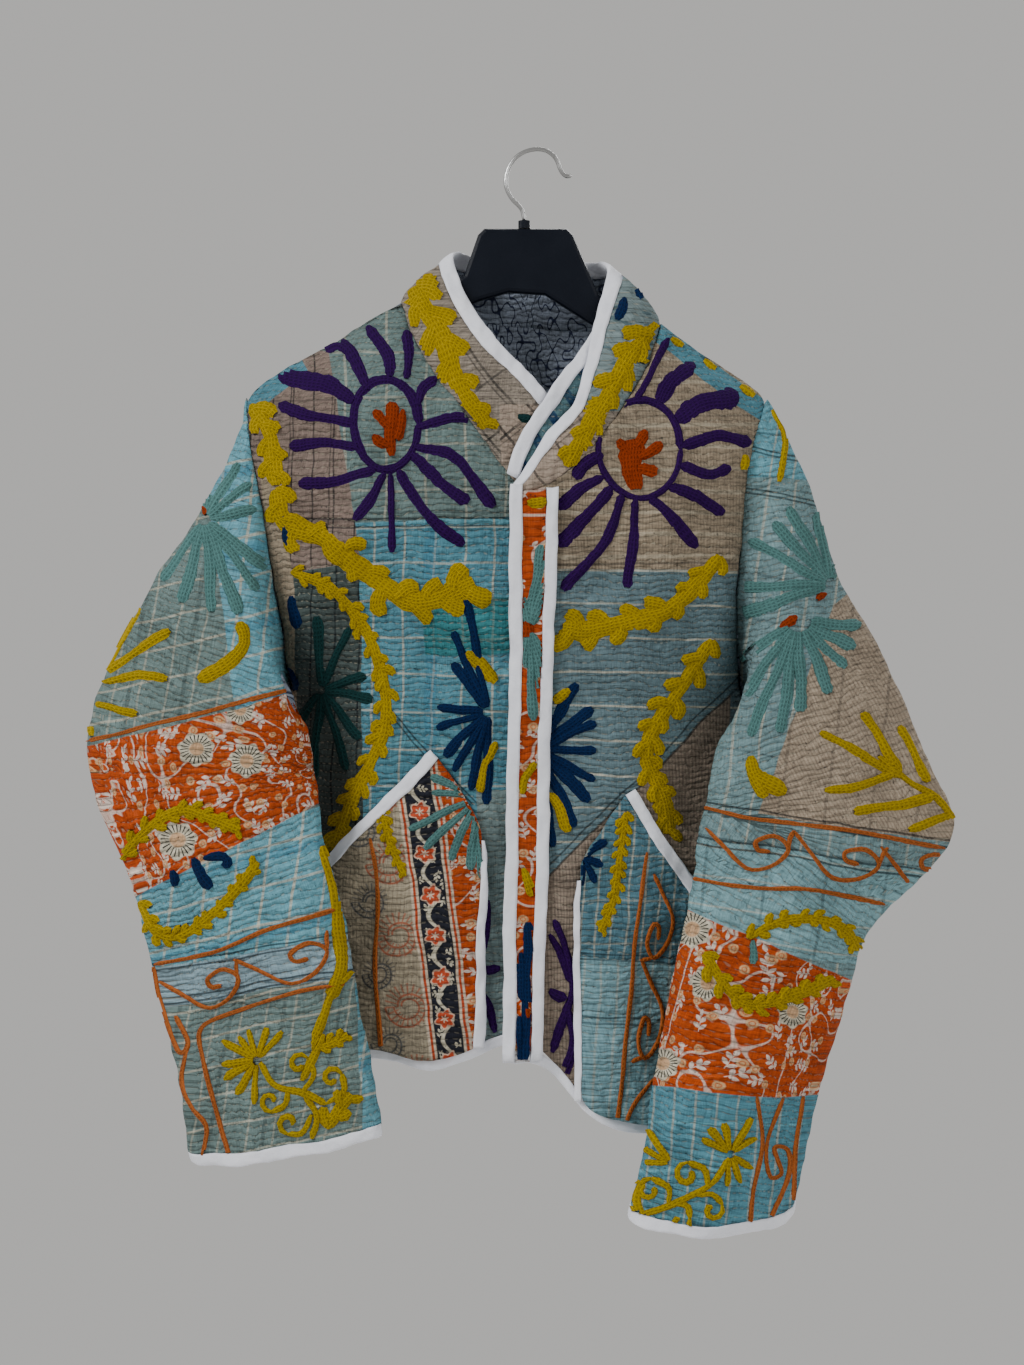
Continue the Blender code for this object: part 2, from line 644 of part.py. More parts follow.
def make_placket(panel, out):
    """The band of cloth between two bindings on the left front. The one at the edge holds the front too."""
    share = np.linspace(0, 1, PLACKET_ROWS + 1)[:, None]
    ends = np.asarray(PLACKET_TOP, float) + (np.asarray(PLACKET_FOOT, float) - PLACKET_TOP) * share
    edge, far, z = ends.T
    inner, outer = edge + BINDING + SEAM, far - BINDING - SEAM
    across = np.stack([inner, (inner + outer) / 2, outer], axis=-1)
    place = np.stack([across, np.broadcast_to(z[:, None], across.shape)], axis=-1)
    sheet = laid_on(panel, out, place, LAID_ON + WALL)
    outward = facing(sheet, sheet * (1, 0, 1))
    cloth_wall("placket", "orange", sheet, -outward * WALL, quilted=False)
    right = np.broadcast_to(np.array((1.0, 0, 0)), (len(sheet), 3))
    depth = LAID_ON + WALL
    strip("placket_binding_edge", "white", sheet[:, 0], -right, outward[:, 0], BINDING, under=depth)
    far_edge, gap = sheet[:, -1], 2 * SEAM
    strip("placket_binding_inner", "white", far_edge, right, outward[:, -1], BINDING, gap, POCKET_TAPE)


def make_underlap():
    """The bound strip that shows between the two ends of the collar, tucked under the left one."""
    edge = spaced(UNDERLAP, 8)
    slant = unit(np.array(UNDERLAP_SLANT))
    start = edge + slant * (UNDERLAP_BINDING + SEAM)
    share = np.linspace(0, 1, 3)[:, None, None]
    sheet = start + slant * (UNDERLAP_WIDTH - UNDERLAP_BINDING) * share
    outward = facing(sheet, sheet * (1, 0, 1))
    cloth_wall("collar_underlap", "grey_blue", sheet, -outward * WALL, quilted=False)
    away = np.broadcast_to(-slant, edge.shape)
    strip("collar_underlap_binding", "white", sheet[0], away, outward[0], UNDERLAP_BINDING)


def make_hanger():
    """The hanger: a flat body with rounded edges, a wire hook, and the ferrule that the hook turns in."""
    outline = bpy.data.curves.new("hanger_outline", "CURVE")
    outline.dimensions = "2D"
    outline.fill_mode = "BOTH"
    outline.extrude = HANGER_THICKNESS / 2 * MM
    line = outline.splines.new("POLY")
    round_it = HANGER_RIGHT_ARM[::-1] + HANGER_TOP + HANGER_LEFT_ARM[::-1] + HANGER_ARCH[::-1]
    line.points.add(len(round_it) - 1)
    for point, (x, z) in zip(line.points, round_it):
        point.co = (x * MM, z * MM, 0, 1)
    line.use_cyclic_u = True
    drawn = bpy.data.objects.new("hanger_outline", outline)
    bpy.context.scene.collection.objects.link(drawn)
    drawn.rotation_euler = (math.pi / 2, 0, 0)
    bpy.context.view_layer.update()
    flat = bpy.data.meshes.new_from_object(drawn.evaluated_get(bpy.context.evaluated_depsgraph_get()))
    whole = bmesh.new()
    whole.from_mesh(flat)
    bmesh.ops.remove_doubles(whole, verts=whole.verts, dist=1e-6)
    bmesh.ops.recalc_face_normals(whole, faces=whole.faces)
    whole.to_mesh(flat)
    whole.free()
    body = bpy.data.objects.new("hanger_body", flat)
    body.matrix_world = drawn.matrix_world
    bpy.context.scene.collection.objects.link(body)
    bpy.data.objects.remove(drawn)
    rounded = body.modifiers.new("rounded edges", "BEVEL")
    rounded.width = HANGER_EDGE * MM
    rounded.segments = 2
    rounded.angle_limit = math.radians(60)
    keep(body, "black")

    wire = bpy.data.curves.new("hanger_hook", "CURVE")
    wire.dimensions = "3D"
    wire.bevel_depth = WIRE / 2 * MM
    wire.bevel_resolution = 1
    wire.use_fill_caps = True
    path = wire.splines.new("POLY")
    route = spaced([(x, 0, z) for x, z in HOOK], HOOK_POINTS)
    path.points.add(len(route) - 1)
    for point, place in zip(path.points, route):
        point.co = (*(place * MM), 1)
    hook = bpy.data.objects.new("hanger_hook", wire)
    bpy.context.scene.collection.objects.link(hook)
    keep(hook, "steel")

    tall = (FERRULE["top"] - FERRULE["foot"]) * MM
    middle = (FERRULE["x"] * MM, 0, FERRULE["foot"] * MM + tall / 2)
    radius = FERRULE["width"] / 2 * MM
    bpy.ops.mesh.primitive_cylinder_add(vertices=16, radius=radius, depth=tall, location=middle)
    ferrule = bpy.context.object
    ferrule.name = "hanger_ferrule"
    keep(ferrule, "black")


def shared_edges():
    """The neck, shoulder seams and armholes, in the straight parts that the pieces at a seam share."""
    right = np.linspace(0, RIGHT_SHOULDER, NECK_COLUMNS + 1)
    behind = np.linspace(RIGHT_SHOULDER, LEFT_SHOULDER, 2 * BACK_NECK_COLUMNS + 1)
    left = np.linspace(len(COLLAR) - 1, LEFT_SHOULDER, NECK_COLUMNS + 1)
    neck = {side: collar_line(at, BASE) for side, at in (("right", right), ("back", behind), ("left", left))}
    shoulder = {"right": seam_line(RIGHT_SHOULDER_SEAM), "left": seam_line(LEFT_SHOULDER_SEAM)}
    for side in shoulder:
        shoulder[side][0] = neck[side][-1]
    armhole = {"right": armhole_ring(RIGHT_ARMHOLE), "left": armhole_ring(LEFT_ARMHOLE)}
    return neck, shoulder, armhole


def body_sheets(neck, shoulder, armhole):
    """The two fronts and the back, with their large folds."""
    sheets = {}
    for side, seam, edge, hem, folds in (
        ("right", RIGHT_SIDE, RIGHT_FRONT_EDGE, RIGHT_HEM, RIGHT_FRONT_FOLDS),
        ("left", LEFT_SIDE, LEFT_FRONT_EDGE, LEFT_HEM, LEFT_FRONT_FOLDS),
    ):
        top = np.concatenate([neck[side], shoulder[side][1:]])
        beside = down_the_side(armhole[side][0], seam)
        flat = body_half(top, beside, down_the_middle(edge), FRONT_FULLNESS, hem, NECK_COLUMNS)
        sheets[f"front_{side}"] = folded(flat, folds, flat * (1, 0, 1), panel_free(*flat.shape[:2]))
    middle = down_the_middle(BACK_MIDDLE)
    flat_halves = []
    for side, seam, half_neck in (
        ("right", RIGHT_SIDE, neck["back"][BACK_NECK_COLUMNS::-1]),
        ("left", LEFT_SIDE, neck["back"][BACK_NECK_COLUMNS:]),
    ):
        top = np.concatenate([half_neck, shoulder[side][1:]])
        beside = down_the_side(armhole[side][1], seam)
        flat_halves.append(body_half(top, beside, middle, BACK_FULLNESS, BACK_HEM, BACK_NECK_COLUMNS))
    flat = np.concatenate([flat_halves[0][:, :0:-1], flat_halves[1]], axis=1)
    free = panel_free(*flat.shape[:2], whole_back=True)
    sheets["back"] = folded(flat, BACK_FOLDS, flat * (1, 0, 1), free)
    return sheets


def collar_cloth():
    """The collar below its binding, two columns to each of the panels', and its binding's way and width."""
    right = np.linspace(0, RIGHT_SHOULDER, 2 * NECK_COLUMNS + 1)
    behind = np.linspace(RIGHT_SHOULDER, LEFT_SHOULDER, 4 * BACK_NECK_COLUMNS + 1)
    left = np.linspace(LEFT_SHOULDER, len(COLLAR) - 1, 2 * NECK_COLUMNS + 1)
    at = np.concatenate([right, behind[1:], left[1:]])
    base, top = collar_line(at, BASE), collar_line(at, TOP)
    base[1:-1:2] = (base[:-2:2] + base[2::2]) / 2
    tall = np.linalg.norm(top - base, axis=-1)
    bound = np.minimum(COLLAR_BINDING, COLLAR_BINDING_SHARE * tall)
    share = np.linspace(0, 1, COLLAR_ROWS + 1)[:, None, None]
    cloth_top = top + unit(base - top) * bound[:, None]
    cloth = cloth_top + (base - cloth_top) * share
    inside = cloth * (0, 0, 1) + INSIDE_THE_NECK
    cloth += facing(cloth, inside) * (COLLAR_ROLL * np.sin(math.pi * share))
    return cloth, facing(cloth, inside), top - base, bound


def join_fronts_to_back(out, into):
    """One way through the wall for each point of the shoulder and side seams."""
    shoulder = np.arange(SHOULDER_COLUMNS + 1)
    below = np.arange(ARMHOLE_ROWS, ROWS + 1)
    last = out["back"].shape[1] - 1
    pairs = (("front_right", shoulder, 0), ("front_left", last - shoulder, last))
    for front, back_shoulder, back_edge in pairs:
        front_shoulder = out[front].shape[1] - 1 - shoulder
        shared = mitre(out[front][0, front_shoulder], out["back"][0, back_shoulder])
        into[front][0, front_shoulder] = shared
        into["back"][0, back_shoulder] = shared
        shared = mitre(out[front][below, -1], out["back"][below, back_edge])
        into[front][below, -1] = shared
        into["back"][below, back_edge] = shared


def join_sleeve(side, sheets, out, into, rings):
    """One way through the wall for each point of an armhole, and the sleeve's own ways through its wall."""
    front, back_edge, next_to_it = f"front_{side}", *((0, 1) if side == "right" else (-1, -2))
    sleeve_out = facing(rings, rings.mean(axis=1, keepdims=True), ring=True)
    sleeve_in = -sleeve_out * WALL
    at_row = np.arange(0, ARMHOLE_ROWS + 1, ARMHOLE_ROWS // ARMHOLE_SIDES)
    on_front, on_back = out[front][at_row, -1], out["back"][at_row, back_edge]
    first = sleeve_out[0, : ARMHOLE_SIDES + 1]
    second = np.concatenate([sleeve_out[0, :1], sleeve_out[0, : ARMHOLE_SIDES - 1 : -1]])
    front_shared, back_shared = mitre(first, on_front), mitre(second, on_back)
    for end in (0, -1):
        front_shared[end] = mitre(first[end], on_front[end], on_back[end])
    shared = np.concatenate([front_shared, back_shared[-2:0:-1]])
    for _ in range(ARMHOLE_SMOOTHING):
        shared = (np.roll(shared, 1, axis=0) + 2 * shared + np.roll(shared, -1, axis=0)) / 4
    front_shared = shared[: ARMHOLE_SIDES + 1]
    back_shared = np.concatenate([shared[:1], shared[: ARMHOLE_SIDES - 1 : -1]])
    rows = np.arange(ARMHOLE_ROWS + 1)
    for name, edge, beside, way in (
        (front, -1, -2, front_shared),
        ("back", back_edge, next_to_it, back_shared),
    ):
        away = unit(sheets[name][rows, beside] - sheets[name][rows, edge]) * SEAM_OPENS
        for k in range(3):
            into[name][rows, edge, k] = np.interp(rows, at_row, way[:, k]) + away[:, k]
    rings = drawn_in(rings, ("top",), SEAM)
    sleeve_in[0] = shared + unit(rings[2] - rings[0]) * SEAM_OPENS
    return rings, sleeve_in, sleeve_out


def join_collar(out, into):
    """One way through the wall for each point of the neck seam."""
    first, last = 2 * NECK_COLUMNS, 2 * NECK_COLUMNS + 4 * BACK_NECK_COLUMNS
    foot = out["collar"][-1]
    neck = np.s_[0, : NECK_COLUMNS + 1]
    back_neck = np.s_[0, SHOULDER_COLUMNS : SHOULDER_COLUMNS + 2 * BACK_NECK_COLUMNS + 1]
    right = mitre(foot[0 : first + 1 : 2], out["front_right"][neck])
    left = mitre(foot[last::2][::-1], out["front_left"][neck])
    behind = mitre(foot[first : last + 1 : 2], out["back"][back_neck])
    behind[0], behind[-1] = right[-1], left[-1]
    into["front_right"][neck] = right
    into["front_left"][neck] = left
    into["back"][back_neck] = behind
    round_it = np.concatenate([right, behind[1:], left[-2::-1]])
    into["collar"][-1, ::2] = round_it
    into["collar"][-1, 1::2] = (round_it[:-1] + round_it[1:]) / 2


def main():
    for thing in list(bpy.data.objects):
        bpy.data.objects.remove(thing)
    bpy.context.scene.collection.children.link(bpy.data.collections.new(COLLECTION))

    neck, shoulder, armhole = shared_edges()
    sheets = body_sheets(neck, shoulder, armhole)
    out = {name: facing(sheet, sheet * (1, 0, 1)) for name, sheet in sheets.items()}
    sheets["collar"], out["collar"], up_the_collar, bound = collar_cloth()
    into = {name: -outward * WALL for name, outward in out.items()}
    join_fronts_to_back(out, into)
    sleeves = {}
    for side, table, folds in (
        ("right", RIGHT_SLEEVE, RIGHT_SLEEVE_FOLDS),
        ("left", LEFT_SLEEVE, LEFT_SLEEVE_FOLDS),
    ):
        rings = sleeve_sheet(*armhole[side], table, folds)
        sleeves[side] = join_sleeve(side, sheets, out, into, rings)
    join_collar(out, into)

    # The walls of cloth
    cut = {name: drawn_in(sheets[name], ("top", "last side")) for name in ("front_right", "front_left")}
    cut["back"] = drawn_in(sheets["back"], ("top", "first side", "last side"))
    cut["collar"] = sheets["collar"].copy()
    cut["collar"][-1] += unit(cut["collar"][-2] - cut["collar"][-1]) * 2 * SEAM
    colours = {"front_right": "blue", "front_left": "blue", "back": "grey_blue", "collar": "beige"}
    for name, colour in colours.items():
        cloth_wall(name, colour, cut[name], into[name])
    for side, (rings, sleeve_in, _) in sleeves.items():
        cloth_wall(f"sleeve_{side}", "blue", rings, sleeve_in, ring=True)

    # The bindings on the edges
    strip("collar_binding", "white", cut["collar"][0], up_the_collar, out["collar"][0], bound, gap=3 * SEAM)
    for name in ("front_right", "front_left", "back"):
        hem = cut[name]
        strip(f"hem_binding_{name}", "white", hem[-1], hem[-1] - hem[-3], -into[name][-1], BINDING)
    for side, (rings, _, sleeve_out) in sleeves.items():
        onward = rings[-1] - rings[-3]
        strip(f"cuff_binding_{side}", "white", rings[-1], onward, sleeve_out[-1], BINDING, ring=True)

    # What lies on the fronts, what shows in the neck, and the hanger
    make_pocket("right", sheets["front_right"], out["front_right"], RIGHT_POCKET, RIGHT_HEM)
    make_pocket("left", sheets["front_left"], out["front_left"], LEFT_POCKET, LEFT_HEM)
    make_placket(sheets["front_left"], out["front_left"])
    make_underlap()
    make_hanger()


main()
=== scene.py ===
"""The finished look of a patchwork kantha jacket that hangs on a shoulder hanger.

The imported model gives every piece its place. Metres, +Z up, the front toward -Y. Right and left are the
wearer's. Places on the front are read as picture elements of the camera's view, 1024 wide and 1365 high.
"""

import math
import random

import bmesh
import bpy
import numpy as np
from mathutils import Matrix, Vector
from mathutils.bvhtree import BVHTree


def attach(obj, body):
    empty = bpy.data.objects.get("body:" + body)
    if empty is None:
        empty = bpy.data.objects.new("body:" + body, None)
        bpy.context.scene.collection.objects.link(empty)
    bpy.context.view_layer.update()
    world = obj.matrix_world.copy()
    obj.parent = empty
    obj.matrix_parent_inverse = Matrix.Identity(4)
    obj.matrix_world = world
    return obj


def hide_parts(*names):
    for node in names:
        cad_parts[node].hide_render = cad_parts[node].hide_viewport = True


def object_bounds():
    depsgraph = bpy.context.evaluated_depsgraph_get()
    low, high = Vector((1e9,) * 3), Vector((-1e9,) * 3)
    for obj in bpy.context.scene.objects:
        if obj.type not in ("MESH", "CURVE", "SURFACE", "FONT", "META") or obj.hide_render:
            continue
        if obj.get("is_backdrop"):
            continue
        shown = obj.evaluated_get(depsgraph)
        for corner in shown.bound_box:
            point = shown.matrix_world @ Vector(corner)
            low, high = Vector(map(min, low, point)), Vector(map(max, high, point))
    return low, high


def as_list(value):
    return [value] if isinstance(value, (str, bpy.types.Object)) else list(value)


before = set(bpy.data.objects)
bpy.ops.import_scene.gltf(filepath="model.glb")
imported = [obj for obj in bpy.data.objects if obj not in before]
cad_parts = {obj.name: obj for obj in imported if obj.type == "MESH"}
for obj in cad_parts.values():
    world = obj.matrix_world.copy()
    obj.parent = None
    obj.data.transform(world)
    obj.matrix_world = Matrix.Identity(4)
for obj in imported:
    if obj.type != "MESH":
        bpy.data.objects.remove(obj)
cad_low, cad_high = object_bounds()

# The studio. The jacket hangs free above a wide pale floor of painted board. Large soft lights stand before
# it on both sides and behind it, and the camera looks level at its middle.
EYE = Vector((-0.0142, -1.62, -0.419))
VIEW = 0.79e-3 / 1.62  # what one picture element covers, for each metre from the camera
VIEW_WIDTH, VIEW_HEIGHT = 1024, 1365
MIDDLE = (VIEW_WIDTH / 2, VIEW_HEIGHT / 2)
FILM = 24  # mm
LIT = Vector((0, 0, -0.42))  # the lights face this place
FLOOR, FLOOR_RADIUS = -1.7, 2.2


def placed(name, data):
    """A new object in the scene, with that mesh, lamp or camera."""
    made = bpy.data.objects.new(name, data)
    bpy.context.scene.collection.objects.link(made)
    return made


camera = placed("camera", bpy.data.cameras.new("camera"))
camera.location = EYE
camera.rotation_euler = (math.pi / 2, 0, 0)
camera.data.sensor_fit = "VERTICAL"
camera.data.sensor_height = FILM
camera.data.lens = FILM / (VIEW * VIEW_HEIGHT)
bpy.context.scene.camera = camera

for name, place, size, watts in (
    ("window light", (-2.3, -1.7, 1.3), 1.3, 78),
    ("fill light", (1.9, -1.9, 0.4), 1.6, 22),
    ("back light", (0.8, 2.2, 1.0), 1.6, 58),
):
    lamp = placed(name, bpy.data.lights.new(name, "AREA"))
    lamp.data.size = size
    lamp.data.energy = watts
    lamp.location = place
    lamp.rotation_euler = (Vector(place) - LIT).to_track_quat("Z", "Y").to_euler()

room = bpy.data.worlds.new("pale room")
room.use_nodes = True
room.node_tree.nodes["Background"].inputs["Color"].default_value = (0.78, 0.77, 0.75, 1)
room.node_tree.nodes["Background"].inputs["Strength"].default_value = 0.64
bpy.context.scene.world = room


class Amount:
    """A socket of a finish. Sums with it add their Math nodes."""

    def __init__(self, finish, socket):
        self.finish, self.socket = finish, socket

    def apply(self, operation, *others, clamp=False):
        """What a Math node makes of this and the others."""
        settings = {"operation": operation, "use_clamp": clamp}
        return self.finish.node("ShaderNodeMath", settings, (self, *others))

    def __add__(self, other):
        return self.apply("ADD", other)

    def __sub__(self, other):
        return self.apply("SUBTRACT", other)

    def __rsub__(self, other):
        return self.finish.node("ShaderNodeMath", {"operation": "SUBTRACT"}, (other, self))

    def __mul__(self, other):
        return self.apply("MULTIPLY", other)

    def __truediv__(self, other):
        return self.apply("DIVIDE", other)

    def __pow__(self, other):
        return self.apply("POWER", other)

    def __abs__(self):
        return self.apply("ABSOLUTE")

    __radd__, __rmul__ = __add__, __mul__

    def sine(self):
        return self.apply("SINE")

    def most(self, other):
        return self.apply("MAXIMUM", other)

    def folded(self, period):
        """How far this is from the nearest whole multiple of the period."""
        return self.apply("PINGPONG", period / 2)

    def under(self, edge, soft):
        """1 where this is below the edge and 0 above it, with a soft step."""
        return self.apply("MULTIPLY_ADD", -1 / soft, edge / soft + 0.5, clamp=True)


class Finish:
    """A procedural material in the making."""

    def __init__(self, name, roughness, metallic=0.0, shine=0.5):
        self.material = bpy.data.materials.new(name)
        self.material.use_nodes = True
        self.tree = self.material.node_tree
        self.shader = self.tree.nodes["Principled BSDF"]
        values = {"Roughness": roughness, "Metallic": metallic, "Specular IOR Level": shine}
        for socket, value in values.items():
            self.shader.inputs[socket].default_value = value

    def node(self, kind, settings, sockets, out=0):
        """What a new node of that kind gives, from its settings and the values or links of its sockets."""
        made = self.tree.nodes.new(kind)
        for setting, value in settings.items():
            setattr(made, setting, value)
        for socket, value in sockets.items() if isinstance(sockets, dict) else enumerate(sockets):
            if isinstance(value, Amount):
                self.tree.links.new(value.socket, made.inputs[socket])
            else:
                made.inputs[socket].default_value = value
        return Amount(self, made.outputs[out])

    def set(self, socket, value):
        """Lets a value of this finish drive a socket of its shader."""
        self.tree.links.new(value.socket, self.shader.inputs[socket])

    def blend(self, first, second, share, way="MIX"):
        """The first colour, or vector, and the second over it by that share."""
        settings = {"data_type": "RGBA", "blend_type": way}
        return self.node("ShaderNodeMix", settings, {0: share, 6: first, 7: second}, 2)

    def joined(self, x, y, z=0.0):
        """A vector of three amounts."""
        return self.node("ShaderNodeCombineXYZ", {}, (x, y, z))

    def lit(self, colour, light):
        """The colour, darker or lighter by that factor."""
        return self.blend(colour, self.joined(light, light, light), 1.0, "MULTIPLY")

    def vector(self, operation, *sockets, out=0):
        return self.node("ShaderNodeVectorMath", {"operation": operation}, sockets, out)

    def along(self, place, x, y):
        """How far a place lies along that direction."""
        return self.vector("DOT_PRODUCT", place, (x, y, 0.0), out=1)

    def object_place(self):
        """The place in the piece's own space."""
        return self.node("ShaderNodeTexCoord", {}, {}, 3)

    def map_place(self, layer):
        """The place on a piece's own map of that name, in thousandths of it."""
        place = self.node("ShaderNodeUVMap", {"uv_map": layer}, {})
        return self.vector("MULTIPLY", place, (1000.0, 1000.0, 0.0))

    def noise(self, place, scale, detail=2.0, stretch=None):
        place = self.vector("MULTIPLY", place, (*stretch, 1.0)) if stretch else place
        return self.node("ShaderNodeTexNoise", {}, {"Vector": place, "Scale": scale, "Detail": detail})

    def bump(self, height, distance):
        """Lets a height from 0 to 1 stand up by that distance in the light."""
        sockets = {"Strength": 1.0, "Distance": distance, "Height": height}
        self.set("Normal", self.node("ShaderNodeBump", {}, sockets))


floor_shape = bmesh.new()
bmesh.ops.create_circle(floor_shape, cap_ends=True, segments=96, radius=FLOOR_RADIUS)
bmesh.ops.translate(floor_shape, verts=floor_shape.verts, vec=(0, 0, FLOOR))
floor_mesh = bpy.data.meshes.new("floor")
floor_shape.to_mesh(floor_mesh)
floor_shape.free()
painted = Finish("pale painted board", 0.8)
painted.shader.inputs["Base Color"].default_value = (0.72, 0.71, 0.69, 1)
floor_mesh.materials.append(painted.material)
placed("floor", floor_mesh)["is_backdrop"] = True

# The two fronts. Each is one panel of old saris and shirtings, laid in layers, pieced and run through with
# rows of fine running stitch about 5 mm apart, which pucker it. They are sewn at shoulder, side and armhole.
ROWS_APART, STITCH = 5.2, 6.4  # mm
THREAD_EDGE = 0.8  # how soft the edge of a woven line is, in picture elements


def dye(red, green, blue):
    """A colour as a screen shows it, from 0 to 255, for a shader."""
    return tuple(((c / 255 + 0.055) / 1.055) ** 2.4 for c in (red, green, blue)) + (1.0,)


BLUE, TEAL_GREY, PALE_BLUE = dye(92, 150, 168), dye(116, 138, 136), dye(112, 136, 144)
# The dark grey check of the right front's side is partly painted shade, where the sleeve shades the body.
BEIGE, DARK_CHECK_AND_PAINTED_SHADE, CREAM, DARK = dye(168, 152, 130), dye(80, 92, 90), dye(218, 210, 186), dye(24, 30, 36)
EMERALD, ORANGE, LEAF_WHITE = dye(30, 128, 128), dye(208, 92, 34), dye(236, 218, 204)

WAVES = np.random.RandomState(11)
CREASES = [
    (WAVES.normal(size=3) * 2 * math.pi / length, WAVES.uniform(0, 6.28, 3), rise)
    for length, rise in ((0.16, 0.9e-3), (0.09, 0.7e-3), (0.05, 0.5e-3), (0.024, 0.28e-3), (0.014, 0.16e-3))
    for _ in range(4)
]
SWING = np.array((0.35, 1.0, 0.45))  # the cloth moves in and out more than along itself
SEAM_REACH = 0.6e-3  # each cut edge reaches this much further, so seams close
SAME_POINT = 1e-5
FLAT = math.radians(40)  # two triangles that bend less than this are halves of one four-sided face
BODY_MIDDLE, BODY_HALF = (-5, 28), 88  # mm: the middle of the body's round, and half its depth
BODY_SIDE = 50  # mm over which the cloth turns round the body's side
NECK_ROUND = 0.088  # the radius of the round that the collar's map is laid on
NECK_BACK = 0.008  # how far the middle of the neck is behind the hook
SHOULDER_DOWN = 0.25  # how far below the hook the middle of a shoulder's round is
ACROSS_CUT = 0.25  # a face wider than this on its map lies across the cut of that round
pieces = {}


def uneven(points):
    """The small unevenness of worn cloth: the same move for all pieces at a place, so seams stay closed."""
    moved = points.copy()
    for run, phase, rise in CREASES:
        moved += SWING * rise * np.sin((points @ run)[:, None] + phase)
    return moved


def seen(points):
    """Where the camera sees these points, in picture elements."""
    away = (points[:, 1] - EYE.y) * VIEW
    right, up = (points[:, 0] - EYE.x) / away, (points[:, 2] - EYE.z) / away
    return np.stack([MIDDLE[0] + right, MIDDLE[1] - up], -1)


def body_cloth(points):
    """How far round the body and how far down each point of its cloth is, in millimetres."""
    x, y, z = points.T * 1000
    past_side = BODY_HALF - abs(y - BODY_MIDDLE[1])
    return np.stack([x + np.tanh((x - BODY_MIDDLE[0]) / BODY_SIDE) * past_side, z], -1)


def body_axis(points):
    """For each point, a place inside the body: the cloth's outer face looks away from it."""
    below = np.maximum(points[:, 2:] + SHOULDER_DOWN, 0)
    return points * (0.8, 0, 1) + (0, NECK_BACK, 0) - (0, 0, 1) * below


def sides(whole, bent):
    """The faces of a wall in groups that no bent edge divides: its outer side, its inner side, its rims."""
    left = set(whole.faces)
    while left:
        met, side = [left.pop()], []
        while met:
            face = met.pop()
            side.append(face)
            beside = {other for edge in face.edges if edge not in bent for other in edge.link_faces} & left
            left -= beside
            met += beside
        yield side


def looks_in(side, axis):
    """Whether a side of a wall looks toward the axis."""
    centre = np.array([face.calc_center_median() for face in side])
    facing = np.array([face.normal for face in side]) * np.array([[face.calc_area()] for face in side])
    outward = centre - axis(centre)
    outward /= np.linalg.norm(outward, axis=1, keepdims=True)
    return np.sum(facing * outward) < 0


def sewn(name, node, slot, finishes, unroll=body_cloth, axis=body_axis, levels=2, sharp=55):
    """A node's mesh, evened out and puckered: its outer face has the first finish and its inside the last."""
    whole = bmesh.new()
    whole.from_mesh(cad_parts[node].data)
    bmesh.ops.remove_doubles(whole, verts=whole.verts, dist=SAME_POINT)
    bmesh.ops.join_triangles(
        whole, faces=whole.faces, angle_face_threshold=FLAT, angle_shape_threshold=math.pi
    )
    whole.normal_update()
    crease = whole.edges.layers.float.new("crease_edge")
    bent = {edge for edge in whole.edges if edge.calc_face_angle(0) > math.radians(sharp)}
    for edge in bent:
        edge[crease] = 1.0
    to_seam = {}
    for face in whole.faces:
        ends = [vert for edge in face.edges if edge in bent for vert in edge.verts]
        if len(ends) == 4 and len(set(ends)) == 4:  # a rim: bent along both of its long edges
            for vert in ends:
                to_seam[vert] = to_seam.get(vert, Vector()) + face.normal
    for vert, way in to_seam.items():
        if way.length > 0.5:  # the rims that meet here don't face away from each other
            vert.co += way.normalized() * SEAM_REACH
    for side in sides(whole, bent):
        if looks_in(side, axis):
            for face in side:
                face.material_index = len(finishes) - 1
    mesh = bpy.data.meshes.new(name)
    whole.to_mesh(mesh)
    whole.free()
    coarse = placed(name, mesh)
    rounding = coarse.modifiers.new("rounding", "SUBSURF")
    rounding.levels = rounding.render_levels = levels
    bpy.context.view_layer.update()
    fine = bpy.data.meshes.new_from_object(coarse.evaluated_get(bpy.context.evaluated_depsgraph_get()))
    bpy.data.objects.remove(coarse)
    fine.name = name
    points = np.empty(len(fine.vertices) * 3)
    fine.vertices.foreach_get("co", points)
    points = uneven(points.reshape(-1, 3))
    fine.vertices.foreach_set("co", points.ravel())
    fine.update()
    corner = np.empty(len(fine.loops), int)
    fine.loops.foreach_get("vertex_index", corner)
    for layer, places in (("view", seen(points) / 1000), ("cloth", unroll(points) / 1000)):
        places = places[corner].reshape(-1, 4, 2)
        cut = np.ptp(places[..., 0], axis=1, keepdims=True) > ACROSS_CUT
        places[..., 0] += (cut & (places[..., 0] < 0)) * 2 * math.pi * NECK_ROUND
        fine.uv_layers.new(name=layer).data.foreach_set("uv", places.ravel())
    for finish in finishes:
        fine.materials.append(finish.material)
    fine.shade_smooth()
    pieces[name] = piece = placed(name, fine)
    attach(piece, "root")
    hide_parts(node)


